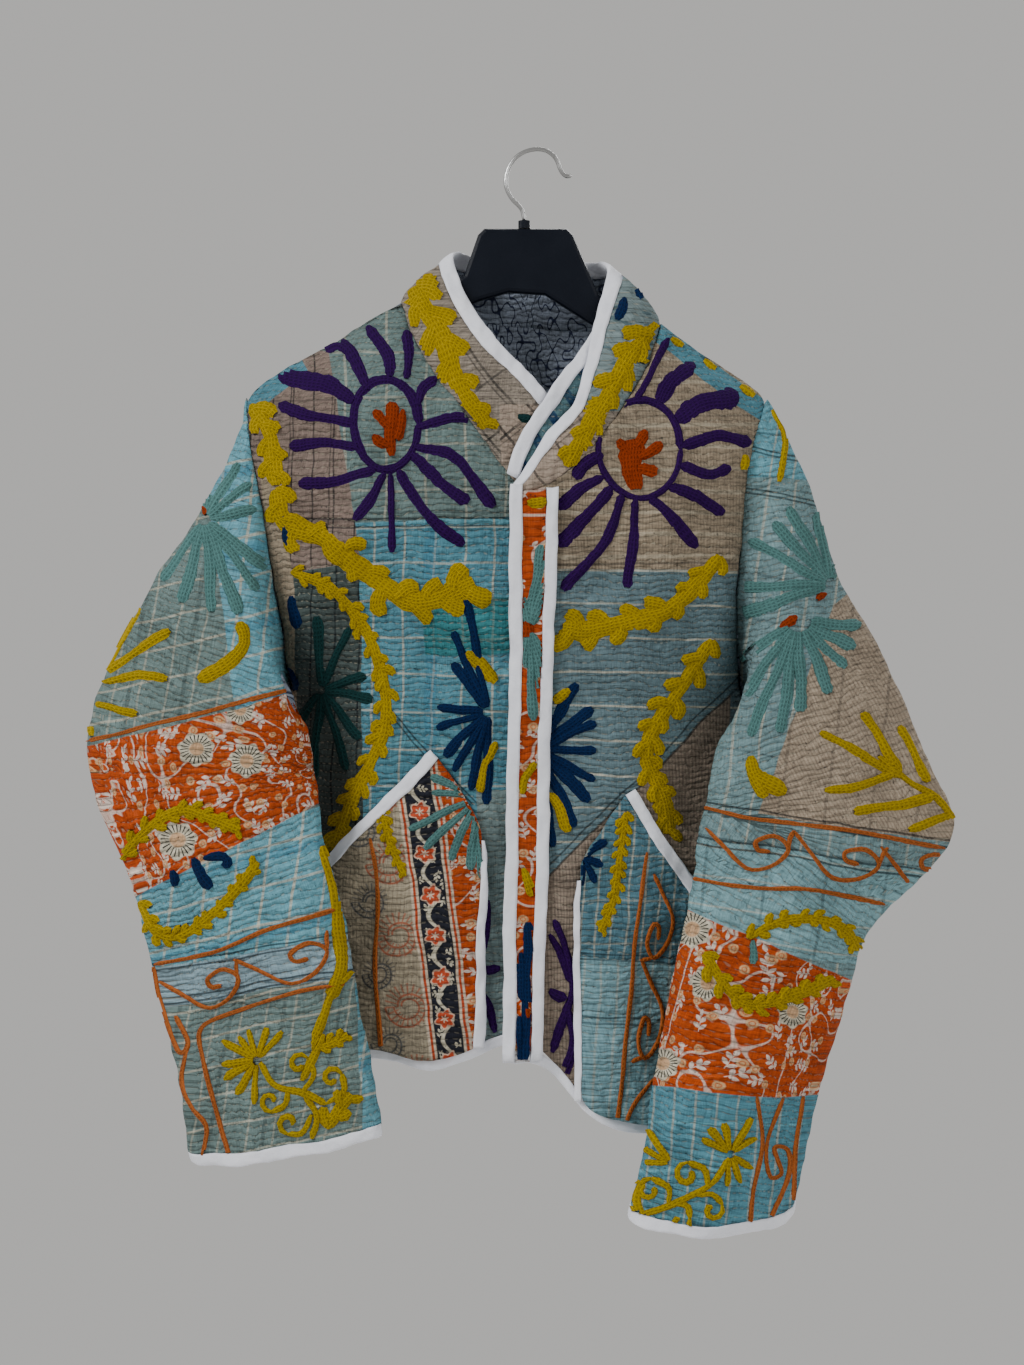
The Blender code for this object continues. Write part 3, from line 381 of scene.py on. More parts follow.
class Cloth(Finish):
    """Quilted cotton. spot is the place in the camera's view, and weft the place on the cloth in mm."""

    def __init__(self, name):
        super().__init__(name, 0.92, shine=0.15)
        spot = self.map_place("view")
        sway = self.node("ShaderNodeTexNoise", {}, {"Vector": spot, "Scale": 0.016, "Detail": 2.0}, 1)
        sway = self.vector("MULTIPLY_ADD", sway, (9.0, 9.0, 0.0), (-4.5, -4.5, 0.0))
        self.spot = self.vector("ADD", spot, sway)
        self.weft = self.map_place("cloth")

    def patch(self, *corners):
        """1 within the corners, which go round by the right in the view."""
        inside = None
        for (x, y), (to_x, to_y) in zip(corners, corners[1:] + corners[:1]):
            run = math.hypot(to_x - x, to_y - y)
            nx, ny = -(to_y - y) / run, (to_x - x) / run
            part = self.along(self.spot, nx, ny).apply("ADD", 0.5 - (nx * x + ny * y), clamp=True)
            inside = part if inside is None else inside * part
        return inside

    def pieced(self, ground, *patches):
        """The ground with other cloths pieced into it, each given with the corners of its patch."""
        for cloth, *corners in patches:
            ground = self.blend(ground, cloth, self.patch(*corners))
        return ground

    def across(self, slant, start):
        """How far beyond its start a place is, across lines whose own direction is slant, in degrees."""
        turned = math.radians(slant)
        return self.along(self.spot, -math.sin(turned), math.cos(turned)) - start

    def line(self, slant, start, width):
        """1 on a single woven line."""
        return abs(self.across(slant, start)).under(width / 2, THREAD_EDGE)

    def ruled(self, ground, slant, width, strength, *starts):
        """The ground with one dark woven line at each start."""
        for start in starts:
            ground = self.blend(ground, DARK, self.line(slant, start, width) * strength)
        return ground

    def checked(self, ground, *sets):
        """A checked cloth: sets of lines over a ground. slant, period, start, width, colour, strength"""
        for slant, period, start, width, colour, strength in sets:
            lines = self.across(slant, start).folded(period).under(width / 2, THREAD_EDGE)
            thin = self.noise(self.spot, 0.07) * 1.5 + 0.2
            ground = self.blend(ground, colour, lines * strength * thin)
        return ground

    def sprigs(self, size, turn):
        """White sprigs of five leaves on a stem, each turned its own way."""
        long, wide = 0.14, 0.07  # a leaf's half length and half width, as shares of the sprigs' spacing
        cells = self.vector("MULTIPLY", self.weft, (1 / size, 1 / size, 0.0))
        settings, sockets = {"voronoi_dimensions": "2D"}, {"Vector": cells, "Scale": 1.0, "Randomness": 0.75}
        colour = self.node("ShaderNodeTexVoronoi", settings, sockets, 1)
        centre = self.node("ShaderNodeTexVoronoi", settings, sockets, 2)
        own_turn = self.along(colour, 6.3, 3.1) + turn
        sockets = {"Vector": self.vector("SUBTRACT", cells, centre), "Angle": own_turn}
        own = self.node("ShaderNodeVectorRotate", {"rotation_type": "Z_AXIS"}, sockets)
        stem_length = abs(self.along(own, 1.0, 0.0)).under(0.3, 0.02)
        shapes = abs(self.along(own, 0.0, 1.0)).under(0.014, 0.02) * stem_length
        for place, lean in ((-0.22, 0.9), (-0.16, -0.8), (0.02, 0.8), (0.06, -0.7), (0.2, 0.1)):
            c, s = math.cos(lean), math.sin(lean)
            x = self.along(own, c / long, s / long) - (place * c / long + 1.0)
            y = abs(self.along(own, -s / wide, c / wide) + place * s / wide)
            shapes = shapes.most((x * x + y).under(1.0, 0.35))
        return shapes

    def aster(self, x, y, size):
        """A printed flower seen in the view: (petals, dark spokes, eye)."""
        own = self.vector("SUBTRACT", self.spot, (x, y, 0.0))
        reach = self.vector("LENGTH", own, out=1)
        turn = self.along(own, 0.0, 1.0).apply("ARCTAN2", self.along(own, 1.0, 0.0))
        petals = (reach + (turn * 7.0).sine() * (0.09 * size)).under(size, 1.2)
        ring = abs(reach - 0.68 * size).under(0.22 * size, 1.2)
        spokes = (turn * (22 / math.pi)).folded(2.0).under(0.32, 0.3) * ring
        return petals, spokes, reach.under(0.42 * size, 1.5)

    def printed(self, size=21.0, turn=0.0, asters=()):
        """Block-printed orange cotton with white sprigs on fine stems, and large pale flowers at places."""
        stems = abs(self.noise(self.weft, 0.034, 0.0) - 0.5).under(0.014, 0.010)
        white = self.sprigs(size, turn).most(stems * 0.8)
        cloth = self.blend(ORANGE, dye(160, 40, 2), self.noise(self.weft, 0.09) * 0.8)
        cloth = self.blend(cloth, LEAF_WHITE, white * 0.95)
        dots_apart = size / 1.1
        sockets = {"Vector": self.weft, "Scale": 1 / dots_apart, "Randomness": 0.8}
        reach = self.node("ShaderNodeTexVoronoi", {"voronoi_dimensions": "2D"}, sockets) * dots_apart
        cloth = self.blend(cloth, dye(228, 190, 140), reach.under(3.2, 0.8) * 0.8)
        cloth = self.blend(cloth, ORANGE, abs(reach - 1.5).under(0.35, 0.4) * 0.7)
        for x, y, across in asters:
            petals, spokes, eye = self.aster(x, y, across)
            cloth = self.blend(cloth, CREAM, petals)
            cloth = self.blend(cloth, dye(214, 160, 110), eye * 0.75)
            cloth = self.blend(cloth, DARK, spokes)
        return cloth

    def quilt(self, colour, thread=CREAM, shade=1.0, strong=1.0):
        """Weave, wear, rows of running stitch and the puffs between them, over a colour, with painted shade:
        darker along the ripples and in the valleys between the rows, and lifted or lowered as a whole by
        shade as painted light.
        """
        sway = self.noise(self.weft, 0.025, 1.0) * 12.0 + self.noise(self.weft, 0.11, 1.0) * 5.0
        rows = self.along(self.weft, 0.0, 1.0) + sway
        between = rows.folded(ROWS_APART) * (2 / ROWS_APART)
        own_row = (rows / ROWS_APART + 0.5).apply("FLOOR")
        shift = (own_row * 12.99).sine() * 40.0  # the stitches of each row start at a place of their own
        round_it = self.along(self.weft, 1.0, 0.0) + self.noise(self.weft, 0.05, 1.0) * 8.0
        gap = (round_it + shift).folded(STITCH)
        stitch = between.under(0.16, 0.14) * gap.under(STITCH * 0.24, 1.2)
        puckers = self.noise(self.weft, 1.0, stretch=(0.24, 0.13))
        ripples = self.noise(self.weft, 1.0, 3.0, stretch=(0.09, 0.24))
        slubs = self.noise(self.weft, 1.0, stretch=(0.07, 1.1))
        warps = self.noise(self.weft, 1.0, stretch=(1.1, 0.05))
        wear = self.noise(self.weft, 0.016, 3.0)
        # Weave and wear vary the tone. The rest is painted shade: the colour darkens with the same ripples
        # that the bump raises, and in the valleys between the rows, and shade lifts or lowers the whole as
        # painted light.
        light = (slubs + warps) * 0.9 + wear * 0.7 + ripples * 0.7 - 0.72
        valley_shade = between.under(0.16, 0.45)
        light = light.most(0.12) * (1.0 - valley_shade * 0.3) * (0.74 * shade)
        colour = self.blend(self.lit(colour, light), thread, stitch * (wear * 0.4))
        flecks = self.noise(self.weft, 0.42, 0.0).apply("GREATER_THAN", 0.77)
        puffs = (between ** 0.6) * (puckers * 1.2 + 0.2) + ripples * 1.1
        self.set("Base Color", self.blend(colour, DARK, flecks * 0.55))
        self.bump(puffs + (slubs + warps) * 0.10 - stitch * 0.12, 0.0019 * strong)


lining = Cloth("lining of grey-blue cotton")
veins = abs(lining.noise(lining.weft, 0.07, 0.0) - 0.5).under(0.03, 0.02)
# Painted light: the lining's pale grey-blue is lifted further by a shade of 1.5, so the inside, where the
# lamps reach little, shows lighter.
lining.quilt(lining.blend(dye(148, 158, 174), dye(14, 26, 64), veins * 0.9), dye(40, 48, 74), 1.5)

front_r = Cloth("right front patchwork")
upper = front_r.checked(
    TEAL_GREY,
    (0, 46, 30, 2.5, CREAM, 0.35),
    (0, 92, 52, 3, DARK, 0.35),
    (90, 40, -386, 2.5, CREAM, 0.4),
)
blue = front_r.checked(
    BLUE,
    (0, 37, 9, 2.2, CREAM, 0.55),
    (2, 74, 60, 8, dye(120, 186, 200), 0.5),
    (91, 30, -384, 2.2, CREAM, 0.55),
    (90, 90, -430, 12, dye(70, 140, 168), 0.5),
)
brown = front_r.checked(
    dye(146, 128, 118),
    (91, 21, -300, 1.6, DARK, 0.75),
    (92, 42, -304, 1.4, DARK, 0.6),
    (0, 60, 40, 2, DARK, 0.4),
)
# The right front's side below the chest: a dark grey check, darkened further by painted shade where the
# sleeve shades the body.
shaded = front_r.checked(DARK_CHECK_AND_PAINTED_SHADE, (91, 24, -298, 1.8, DARK, 0.8), (1, 52, 30, 2, DARK, 0.5))
shown = front_r.pieced(
    upper,
    (blue, (340, 522), (560, 516), (560, 1150), (340, 1150)),
    (brown, (180, 330), (330, 352), (360, 560), (180, 590)),
    (shaded, (180, 590), (360, 560), (364, 900), (180, 900)),
)
emerald = front_r.patch((422, 602), (560, 596), (560, 652), (424, 655))
shown = front_r.blend(shown, EMERALD, emerald * 0.65)
shown = front_r.ruled(shown, 0, 2.2, 0.7, 518)
shown = front_r.ruled(shown, 0, 1.8, 0.7, 526)
for start in (199, 203):
    seam = front_r.line(47, start, 1.6) * front_r.patch((380, 690), (484, 690), (484, 806), (380, 806))
    shown = front_r.blend(shown, DARK, seam * 0.7)
shown = front_r.pieced(
    shown,
    (dye(122, 142, 142), (478, 790), (510, 790), (510, 1080), (468, 1080)),
    (BLUE, (232, 398), (300, 354), (308, 370), (250, 414)),
    (BEIGE, (262, 430), (276, 440), (294, 590), (296, 720), (262, 720)),
)
front_r.quilt(shown)
sewn("right_front", "front_right", "front_cloth", (front_r, lining))

front_l = Cloth("left front patchwork")
oat = front_l.checked(
    BEIGE,
    (90, 3.2, 0, 1.1, dye(130, 116, 98), 0.55),
    (0, 66, 20, 2.2, DARK, 0.3),
    (0, 22, 7, 4, CREAM, 0.3),
)
sky = front_l.checked(PALE_BLUE, (90, 3.2, 0, 1.1, dye(100, 132, 140), 0.5), (1, 34, 16, 2.0, CREAM, 0.6))
low = front_l.checked(
    dye(160, 144, 128), (90, 3.2, 0, 1.2, dye(110, 98, 90), 0.6), (1, 70, 30, 2.5, DARK, 0.3)
)
shown = front_l.pieced(oat, (sky, (520, 568), (760, 572), (760, 1200), (520, 1200)))
shown = front_l.ruled(shown, 0, 2.4, 0.55, 564)
shown = front_l.pieced(shown, (low, (520, 905), (730, 695), (730, 1200), (520, 1200)))
shown = front_l.ruled(shown, 135, 2.2, 0.7, -1008)
shown = front_l.ruled(shown, 135, 1.8, 0.7, -1001)
shown = front_l.pieced(shown, (BLUE, (655, 318), (800, 426), (788, 442), (655, 342)))
front_l.quilt(shown)
sewn("left_front", "front_left", "front_cloth", (front_l, lining))

# The back, one wide panel of the same layered cotton. It hangs from the shoulder seams, which lie over the
# hanger's arms, and carries a few large patches of checks and of the orange print.
back_cloth = Cloth("back patchwork")
wide_check = back_cloth.checked(
    BLUE,
    (0, 41, 12, 2.2, CREAM, 0.5),
    (90, 33, -380, 2.2, CREAM, 0.5),
    (0, 123, 60, 14, TEAL_GREY, 0.6),
)
pale = back_cloth.checked(
    BEIGE,
    (90, 3.4, 0, 1.1, dye(130, 116, 98), 0.5),
    (0, 58, 14, 2, DARK, 0.4),
    (90, 44, -300, 2, DARK, 0.4),
)
grey = back_cloth.checked(TEAL_GREY, (0, 30, 12, 2, CREAM, 0.45), (90, 52, -540, 2, DARK, 0.45))
back_cloth.quilt(back_cloth.pieced(
    wide_check,
    (pale, (200, 300), (470, 300), (455, 640), (200, 650)),
    (grey, (590, 560), (800, 552), (800, 860), (585, 870)),
    (back_cloth.printed(23.0), (200, 842), (520, 852), (520, 1010), (200, 1000)),
))
sewn("back_panel", "back", "back_cloth", (back_cloth, lining))

# The sleeves, each cut in one piece with a seam along its underside, in bands of checked cotton and of the
# orange print. They are set flat into the low armholes and hang forward with a bent elbow.
# The sleeves' paler blue check is partly painted light: it is made lighter than the fronts' blue, which lies
# in more shade beside the sleeves.
SLEEVE_BLUE_AND_PAINTED_LIGHT = dye(112, 172, 188)
SLEEVE_HALF = 0.033  # metres from a sleeve's middle to its front or back
SLEEVE_SIDE = 0.03  # metres over which the cloth turns round the sleeve's side
SLEEVE_LINES = {
    "right": (
        (-0.213, 0.000, -0.314), (-0.225, -0.030, -0.380), (-0.250, -0.057, -0.487),
        (-0.214, -0.068, -0.610), (-0.186, -0.075, -0.762),
    ),
    "left": (
        (0.184, 0.000, -0.317), (0.200, -0.042, -0.410), (0.226, -0.066, -0.528),
        (0.186, -0.076, -0.610), (0.136, -0.087, -0.806),
    ),
}


def smooth(points, steps):
    """A smooth line through some points, cut into parts."""
    points = np.asarray(points, float)
    if len(points) == 2:
        return points[0] + (points[1] - points[0]) * np.linspace(0, 1, steps + 1)[:, None]
    slopes = np.gradient(points, axis=0)
    at = np.linspace(0, len(points) - 1, steps + 1)
    i = np.minimum(at.astype(int), len(points) - 2)
    t = (at - i)[:, None]
    start, end = points[i], points[i + 1]
    turn = (end - start) * (3 * t**2 - 2 * t**3)
    return start + turn + slopes[i] * (t - 2 * t**2 + t**3) + slopes[i + 1] * (t**3 - t**2)


def sleeve_maps(side):
    """How a sleeve unrolls, and the line along its inside."""
    line = smooth(SLEEVE_LINES[side], 60)
    run = np.gradient(line, axis=0)
    run /= np.linalg.norm(run, axis=1, keepdims=True)
    gone = np.concatenate([[0], np.cumsum(np.linalg.norm(np.diff(line, axis=0), axis=1))])
    sideways = np.cross(run, (0, 1, 0))
    sideways /= np.linalg.norm(sideways, axis=1, keepdims=True)

    def nearest(points):
        return np.argmin(((points[:, None, (0, 2)] - line[None, :, (0, 2)]) ** 2).sum(-1), axis=1)

    def unroll(points):
        at = nearest(points)
        own = points - line[at]
        across = (own * sideways[at]).sum(-1)
        round_it = across + np.tanh(across / SLEEVE_SIDE) * (SLEEVE_HALF - abs(own[:, 1]))
        down = gone[at] + (own[:, (0, 2)] * run[at][:, (0, 2)]).sum(-1)
        return np.stack([round_it, down], -1) * 1000

    def axis(points):
        return line[nearest(points)]

    return unroll, axis


sleeve_r = Cloth("right sleeve patchwork")
misty = sleeve_r.checked(
    TEAL_GREY,
    (-12, 30, 8, 2.2, CREAM, 0.5),
    (100, 26, -310, 2.0, CREAM, 0.35),
    (100, 52, -300, 4, DARK, 0.3),
)
bright = sleeve_r.checked(
    SLEEVE_BLUE_AND_PAINTED_LIGHT,
    (-14, 38, 12, 2.6, CREAM, 0.6),
    (97, 30, -220, 2.6, CREAM, 0.6),
    (-14, 76, 60, 10, dye(70, 142, 172), 0.5),
)
faded = sleeve_r.checked(dye(146, 174, 186), (-14, 14, 5, 1.5, DARK, 0.3))
shown = sleeve_r.pieced(
    misty,
    (bright, (196, 400), (420, 400), (420, 700), (236, 718)),
    (bright, (60, 900), (420, 770), (420, 930), (60, 985)),
    (bright, (352, 930), (420, 930), (420, 1180), (366, 1180)),
    (faded, (60, 985), (420, 925), (420, 965), (60, 1025)),
)
shown = sleeve_r.ruled(shown, -9, 2.0, 0.75, 977, 984, 1012, 1018)
flowers = ((196, 749, 17), (247, 760, 17), (239, 708, 14), (177, 841, 19))
print_r = sleeve_r.printed(21.0, 0.4, flowers)
shown = sleeve_r.pieced(shown, (print_r, (60, 752), (330, 684), (340, 793), (110, 908)))
# shade=1.15 lifts the sleeve's colour as painted light, lighter than the fronts.
sleeve_r.quilt(shown, shade=1.15)
sewn("right_sleeve", "sleeve_right", "sleeve_cloth", (sleeve_r, lining), *sleeve_maps("right"))

sleeve_l = Cloth("left sleeve patchwork")
haze = sleeve_l.checked(
    dye(126, 156, 160),
    (9, 44, 10, 2.4, DARK, 0.4),
    (98, 27, -640, 2.4, CREAM, 0.5),
    (98, 3.2, 0, 1.1, dye(106, 138, 146), 0.4),
)
crown = sleeve_l.checked(SLEEVE_BLUE_AND_PAINTED_LIGHT, (8, 42, 30, 2.2, DARK, 0.5), (100, 24, -600, 2.0, CREAM, 0.5))
speckled = sleeve_l.checked(
    dye(176, 160, 140), (60, 3.4, 0, 1.2, dye(126, 108, 92), 0.5), (98, 46, -700, 3, DARK, 0.3)
)
calm = sleeve_l.checked(dye(134, 176, 184), (8, 30, 18, 2.0, CREAM, 0.4), (98, 60, -640, 3, DARK, 0.35))
deep_blue = sleeve_l.checked(
    BLUE, (0, 46, 20, 2.6, dye(120, 190, 206), 0.6), (96, 21, -640, 2.2, CREAM, 0.45)
)
flowers = ((692, 929, 18), (708, 984, 17), (792, 1012, 15), (664, 1064, 16))
print_l = sleeve_l.printed(21.0, 1.1, flowers)
shown = sleeve_l.pieced(haze, (crown, (640, 300), (880, 300), (880, 486), (640, 470)))
shown = sleeve_l.ruled(shown, 13, 1.8, 0.7, 267, 271, 307, 311)
shown = sleeve_l.pieced(
    shown,
    (speckled, (834, 604), (880, 570), (1000, 700), (1000, 850), (758, 814)),
    (calm, (640, 830), (1000, 880), (1000, 990), (640, 930)),
)
shown = sleeve_l.ruled(shown, 9, 2.2, 0.75, 682, 689, 716, 723)
shown = sleeve_l.pieced(
    shown,
    (deep_blue, (600, 1080), (1000, 1080), (1000, 1300), (600, 1300)),
    (print_l, (640, 890), (860, 984), (840, 1094), (740, 1096), (640, 1084)),
)
# shade=1.15 lifts the sleeve's colour as painted light, lighter than the fronts.
sleeve_l.quilt(shown, shade=1.15)
sewn("left_sleeve", "sleeve_left", "sleeve_cloth", (sleeve_l, lining), *sleeve_maps("left"))

# The stand collar, a band of the same quilted cotton whose left end crosses over the right one, and the
# bound strip that shows between its ends. Both are caught in the neck seam.
collar_finish = Cloth("collar patchwork")
tweed = collar_finish.checked(dye(168, 156, 142), (0, 3.0, 0, 1.1, dye(112, 104, 96), 0.5))
worn_check = collar_finish.checked(
    tweed,
    (52, 40, 5, 2.4, DARK, 0.65),
    (52, 40, 10, 1.6, DARK, 0.5),
    (-38, 46, 3, 2.4, DARK, 0.55),
)
end_check = collar_finish.checked(
    dye(178, 160, 144),
    (-38, 34, 8, 2.6, DARK, 0.7),
    (-38, 34, 13, 1.4, DARK, 0.5),
    (52, 34, 5, 2.6, DARK, 0.7),
)
blots = collar_finish.noise(collar_finish.weft, 0.14, 1.0).apply("GREATER_THAN", 0.62)
mottled = collar_finish.blend(dye(132, 150, 152), dye(58, 92, 104), blots * 0.6)
shown = collar_finish.pieced(
    tweed,
    (worn_check, (470, 330), (560, 330), (560, 500), (440, 500)),
    (mottled, (548, 200), (760, 200), (760, 410), (548, 410)),
    (end_check, (500, 405), (600, 405), (600, 540), (500, 540)),
)
collar_finish.quilt(shown, strong=0.8)


def collar_round(points):
    """How far round the neck and how far down each point is, in millimetres."""
    x, y, z = points.T * 1000
    return np.stack([np.arctan2(x, NECK_BACK * 1000 - y) * (NECK_ROUND * 1000), z], -1)


def collar_axis(points):
    """For each point, the place at its height in the middle of the neck."""
    return points * (0, 0, 1) + (0, NECK_BACK, 0)


sewn("collar_band", "collar", "collar_cloth", (collar_finish, lining), collar_round, collar_axis)
under_finish = Cloth("cloth under the collar's end")
under_finish.quilt(under_finish.checked(dye(96, 132, 140), (52, 26, 5, 9, dye(20, 60, 104), 0.8)), strong=0.6)
sewn("collar_under_end", "collar_underlap", "underlap_cloth", (under_finish,), levels=1)

# The patch pockets, cut with a slanting mouth and caught in the side seam and the hem. The right one is of a
# bordered paisley cloth and the left one of blue checks.
BORDER_SLANT = math.atan2(260, 32)  # the border runs down the pocket, a little off the upright
BORDER_AT = (420.5, 800.0, 0.0)
BLOOM_EVERY, SCROLL_REACH = 42, 6.5
TRIM_AT, TRIM, TRIM_CORE = 18.0, 3.8, 1.3  # the pale lines on both sides of the border, and the red in them
pocket_r = Cloth("right pocket of bordered paisley cloth")
from_border = pocket_r.vector("SUBTRACT", pocket_r.spot, BORDER_AT)
across = pocket_r.along(from_border, math.sin(BORDER_SLANT), -math.cos(BORDER_SLANT))
down = pocket_r.along(from_border, math.cos(BORDER_SLANT), math.sin(BORDER_SLANT))
oatmeal = pocket_r.checked(dye(182, 170, 146), (90, 4, 0, 1.2, dye(150, 136, 116), 0.5))
for offset, start, size, colour in ((-38, 58, 22, dye(178, 84, 52)), (-62, 22, 17, dye(70, 78, 88))):
    paisley = pocket_r.joined(across - offset, (down - start).apply("WRAP", -36.0, 36.0))
    reach = pocket_r.vector("LENGTH", paisley, out=1)
    angle = pocket_r.along(paisley, 0.0, 1.0).apply("ARCTAN2", pocket_r.along(paisley, 1.0, 0.0))
    edge = size * 0.74 + (angle * 0.5).sine() * (size * 0.3)
    lobes = (angle * (11 / math.pi)).folded(1.0).under(0.16, 0.2)
    outline = abs(reach - edge).under(1.0, 1.0).most(abs(reach - edge * 0.62).under(0.9, 1.0))
    fan = lobes * reach.under(size * 1.02, 1.0) * (1.0 - reach.under(size * 0.45, 1.0))
    oatmeal = pocket_r.blend(oatmeal, colour, outline.most(fan * 0.8) * 0.8)
shown = pocket_r.blend(oatmeal, pocket_r.printed(18.0, 2.0), (0.0 - across).under(-18.5, 1.0))
shown = pocket_r.blend(shown, dye(226, 208, 184), abs(abs(across) - TRIM_AT).under(TRIM, 1.0))
shown = pocket_r.blend(shown, dye(196, 76, 40), abs(abs(across) - TRIM_AT).under(TRIM_CORE, 1.0))
shown = pocket_r.blend(shown, dye(40, 42, 52), abs(across).under(14.0, 1.0))
scroll = (down * (2 * math.pi / BLOOM_EVERY)).sine() * SCROLL_REACH
shown = pocket_r.blend(shown, CREAM, abs(across - scroll).under(2.0, 1.2))
shown = pocket_r.blend(shown, CREAM, pocket_r.sprigs(13.0, 0.6) * abs(across).under(12.0, 1.0))
off_x = across + scroll * 0.3
off_y = (down - BLOOM_EVERY / 4).apply("WRAP", -BLOOM_EVERY / 2, BLOOM_EVERY / 2)
petals = (off_x.apply("ARCTAN2", off_y) * 6.0).sine() * 1.5
bloom = pocket_r.vector("LENGTH", pocket_r.joined(off_x, off_y), out=1) + petals
for colour, size in ((dye(238, 200, 174), 9.8), (dye(208, 84, 52), 8.2), (dye(240, 206, 180), 2.9)):
    shown = pocket_r.blend(shown, colour, bloom.under(size, 1.0))
pocket_r.quilt(shown, dye(190, 180, 160))
sewn("right_pocket", "pocket_right", "pocket_cloth", (pocket_r,))

pocket_l = Cloth("left pocket of blue checks")
clear_blue = pocket_l.checked(
    dye(92, 136, 152), (94, 15, -600, 2.0, CREAM, 0.5), (0, 44, 20, 2.0, CREAM, 0.35)
)
greyer = pocket_l.checked(
    dye(140, 186, 198), (94, 17, -600, 2.4, CREAM, 0.4), (0, 3.2, 0, 1.1, dye(102, 136, 140), 0.5)
)
shown = pocket_l.pieced(clear_blue, (greyer, (540, 955), (720, 968), (720, 1180), (540, 1180)))
pocket_l.quilt(pocket_l.ruled(shown, 3, 2.0, 0.6, 922, 928, 984, 990))
sewn("left_pocket", "pocket_left", "pocket_cloth", (pocket_l,))

# The placket, a straight band of the orange print laid over the left front's edge between two white
# bindings. It hides the closing, and a hem binding ends it.
band_finish = Cloth("placket of orange print")
foot_tape = (dye(250, 250, 252), (490, 1050), (560, 1050), (560, 1100), (490, 1100))
shown = band_finish.pieced(band_finish.printed(18.0, 3.0), foot_tape)
band_finish.quilt(shown, dye(214, 120, 70), strong=0.7)
sewn("placket_band", "placket", "placket_cloth", (band_finish,), levels=3)

# The bindings, bias strips of plain white cotton folded over each raw edge and topstitched close to the fold.
# They pucker a little where the quilting draws them in, and their white carries painted shade in the hollows
# of the puckers.
white_tape = Finish("white cotton binding", 0.8, shine=0.3)
ripple = white_tape.noise(white_tape.object_place(), 85.0)
weave = white_tape.noise(white_tape.object_place(), 900.0, 1.0)
# Painted shade: the white follows the same ripple that the bump puckers and is darker in its hollows; the
# weave adds a real fine tone.
weave_and_painted_pucker_shade = ripple * 0.7 + weave * 0.3
white_tape.set("Base Color", white_tape.blend(dye(214, 217, 228), dye(246, 247, 252), weave_and_painted_pucker_shade))
white_tape.bump(ripple * 0.9 + weave * 0.1, 0.0016)
BOUND = {
    "collar_band": ("collar_binding",),
    "collar_under_end": ("collar_underlap_binding",),
    "right_front": ("hem_binding_front_right",),
    "left_front": ("hem_binding_front_left",),
    "back_panel": ("hem_binding_back",),
    "right_sleeve": ("cuff_binding_right",),
    "left_sleeve": ("cuff_binding_left",),
    "right_pocket": ("pocket_mouth_binding_right", "pocket_edge_binding_right"),
    "left_pocket": ("pocket_mouth_binding_left", "pocket_edge_binding_left"),
    "placket_band": ("placket_binding_edge", "placket_binding_inner"),
}
sewn_to = {}  # for each piece of cloth, the bindings and the threads that are sewn to it
for cloth, nodes in BOUND.items():
    for node in nodes:
        sewn(f"{node}_tape", node, "binding", (white_tape,), sharp=60)
    sewn_to[cloth] = [pieces[f"{node}_tape"] for node in nodes]

TUCKED = 0.03  # the length at a strip's top that is drawn out under the collar
for name, longer in (
    ("placket_band", 0.006), ("placket_binding_inner_tape", 0.006), ("placket_binding_edge_tape", 0.011)
):
    strip = pieces[name].data
    top = max(vert.co.z for vert in strip.vertices)
    for vert in strip.vertices:
        vert.co.z += longer * max(0, 1 - (top - vert.co.z) / TUCKED) ** 2

# The embroidery, lines of chain stitch in thick cotton thread, worked through the quilt after the cloth was
# pieced. Each line lies on its cloth as a low ridge, and fillings are lines side by side.
THREADS = {
    "purple": dye(43, 0, 73),
    "mustard": dye(168, 142, 2),
    "teal": dye(82, 125, 123),
    "navy": dye(4, 34, 74),
    "rust": dye(166, 90, 40),
    "flame": dye(142, 50, 4),
    "green": dye(18, 54, 54),
}
ON_CLOTH = 0.8e-3  # about how much cloth a picture element covers
STEP = 5  # picture elements between the crossings of a line
TORN = 0.02  # a longer edge would span from one fold of the cloth to another
EDGE_IN = 0.25e-3  # how far the edges of a line sink into the cloth
chance = random.Random(7)


def thread_finish(name, colour):
    """Chain stitch: lanes of thread beside each other, and the links along each of them, with a painted
    highlight on each ridge and painted shade between them.
    """
    finish = Finish(f"{name} cotton thread", 0.85, shine=0.12)
    place = finish.map_place("thread")
    lane = finish.along(place, 0.0, 1.0).folded(2.5) * 0.8
    link = (finish.along(place, 1.0, 0.0) + lane * 1.6).folded(3.6) * 0.55
    fuzz = finish.noise(place, 1.1)
    height = lane.most(link * 0.9)
    # Painted light: the colour is lighter on the ridges of the lanes and links and darker between them,
    # following the bump.
    finish.set("Base Color", finish.lit(colour, height * 0.6 + fuzz * 0.75 + 0.1))
    finish.bump(height + fuzz * 0.5, 0.0011)
    return finish


def ground(*names):
    """What the needle meets: the surfaces of those pieces."""
    points, faces = [], []
    for name in names:
        mesh = pieces[name].data
        start = len(points)
        points += [v.co[:] for v in mesh.vertices]
        faces += [[start + i for i in face.vertices] for face in mesh.polygons]
    return BVHTree.FromPolygons(points, faces)


threads = {name: thread_finish(name, colour) for name, colour in THREADS.items()}
ONTO = {  # the slot of each cloth, and its pieces: the threads go with the first of them
    "fronts": ("front_cloth", "right_front", "left_front"),
    "back": ("back_cloth", "back_panel"),
    "right sleeve": ("sleeve_cloth", "right_sleeve"),
    "left sleeve": ("sleeve_cloth", "left_sleeve"),
    "collar": ("collar_cloth", "collar_band"),
    "right pocket": ("pocket_cloth", "right_pocket"),
    "left pocket": ("pocket_cloth", "left_pocket"),
    "placket": ("placket_cloth", "placket_band"),
}
grounds = {onto: ground(*names) for onto, (slot, *names) in ONTO.items()}


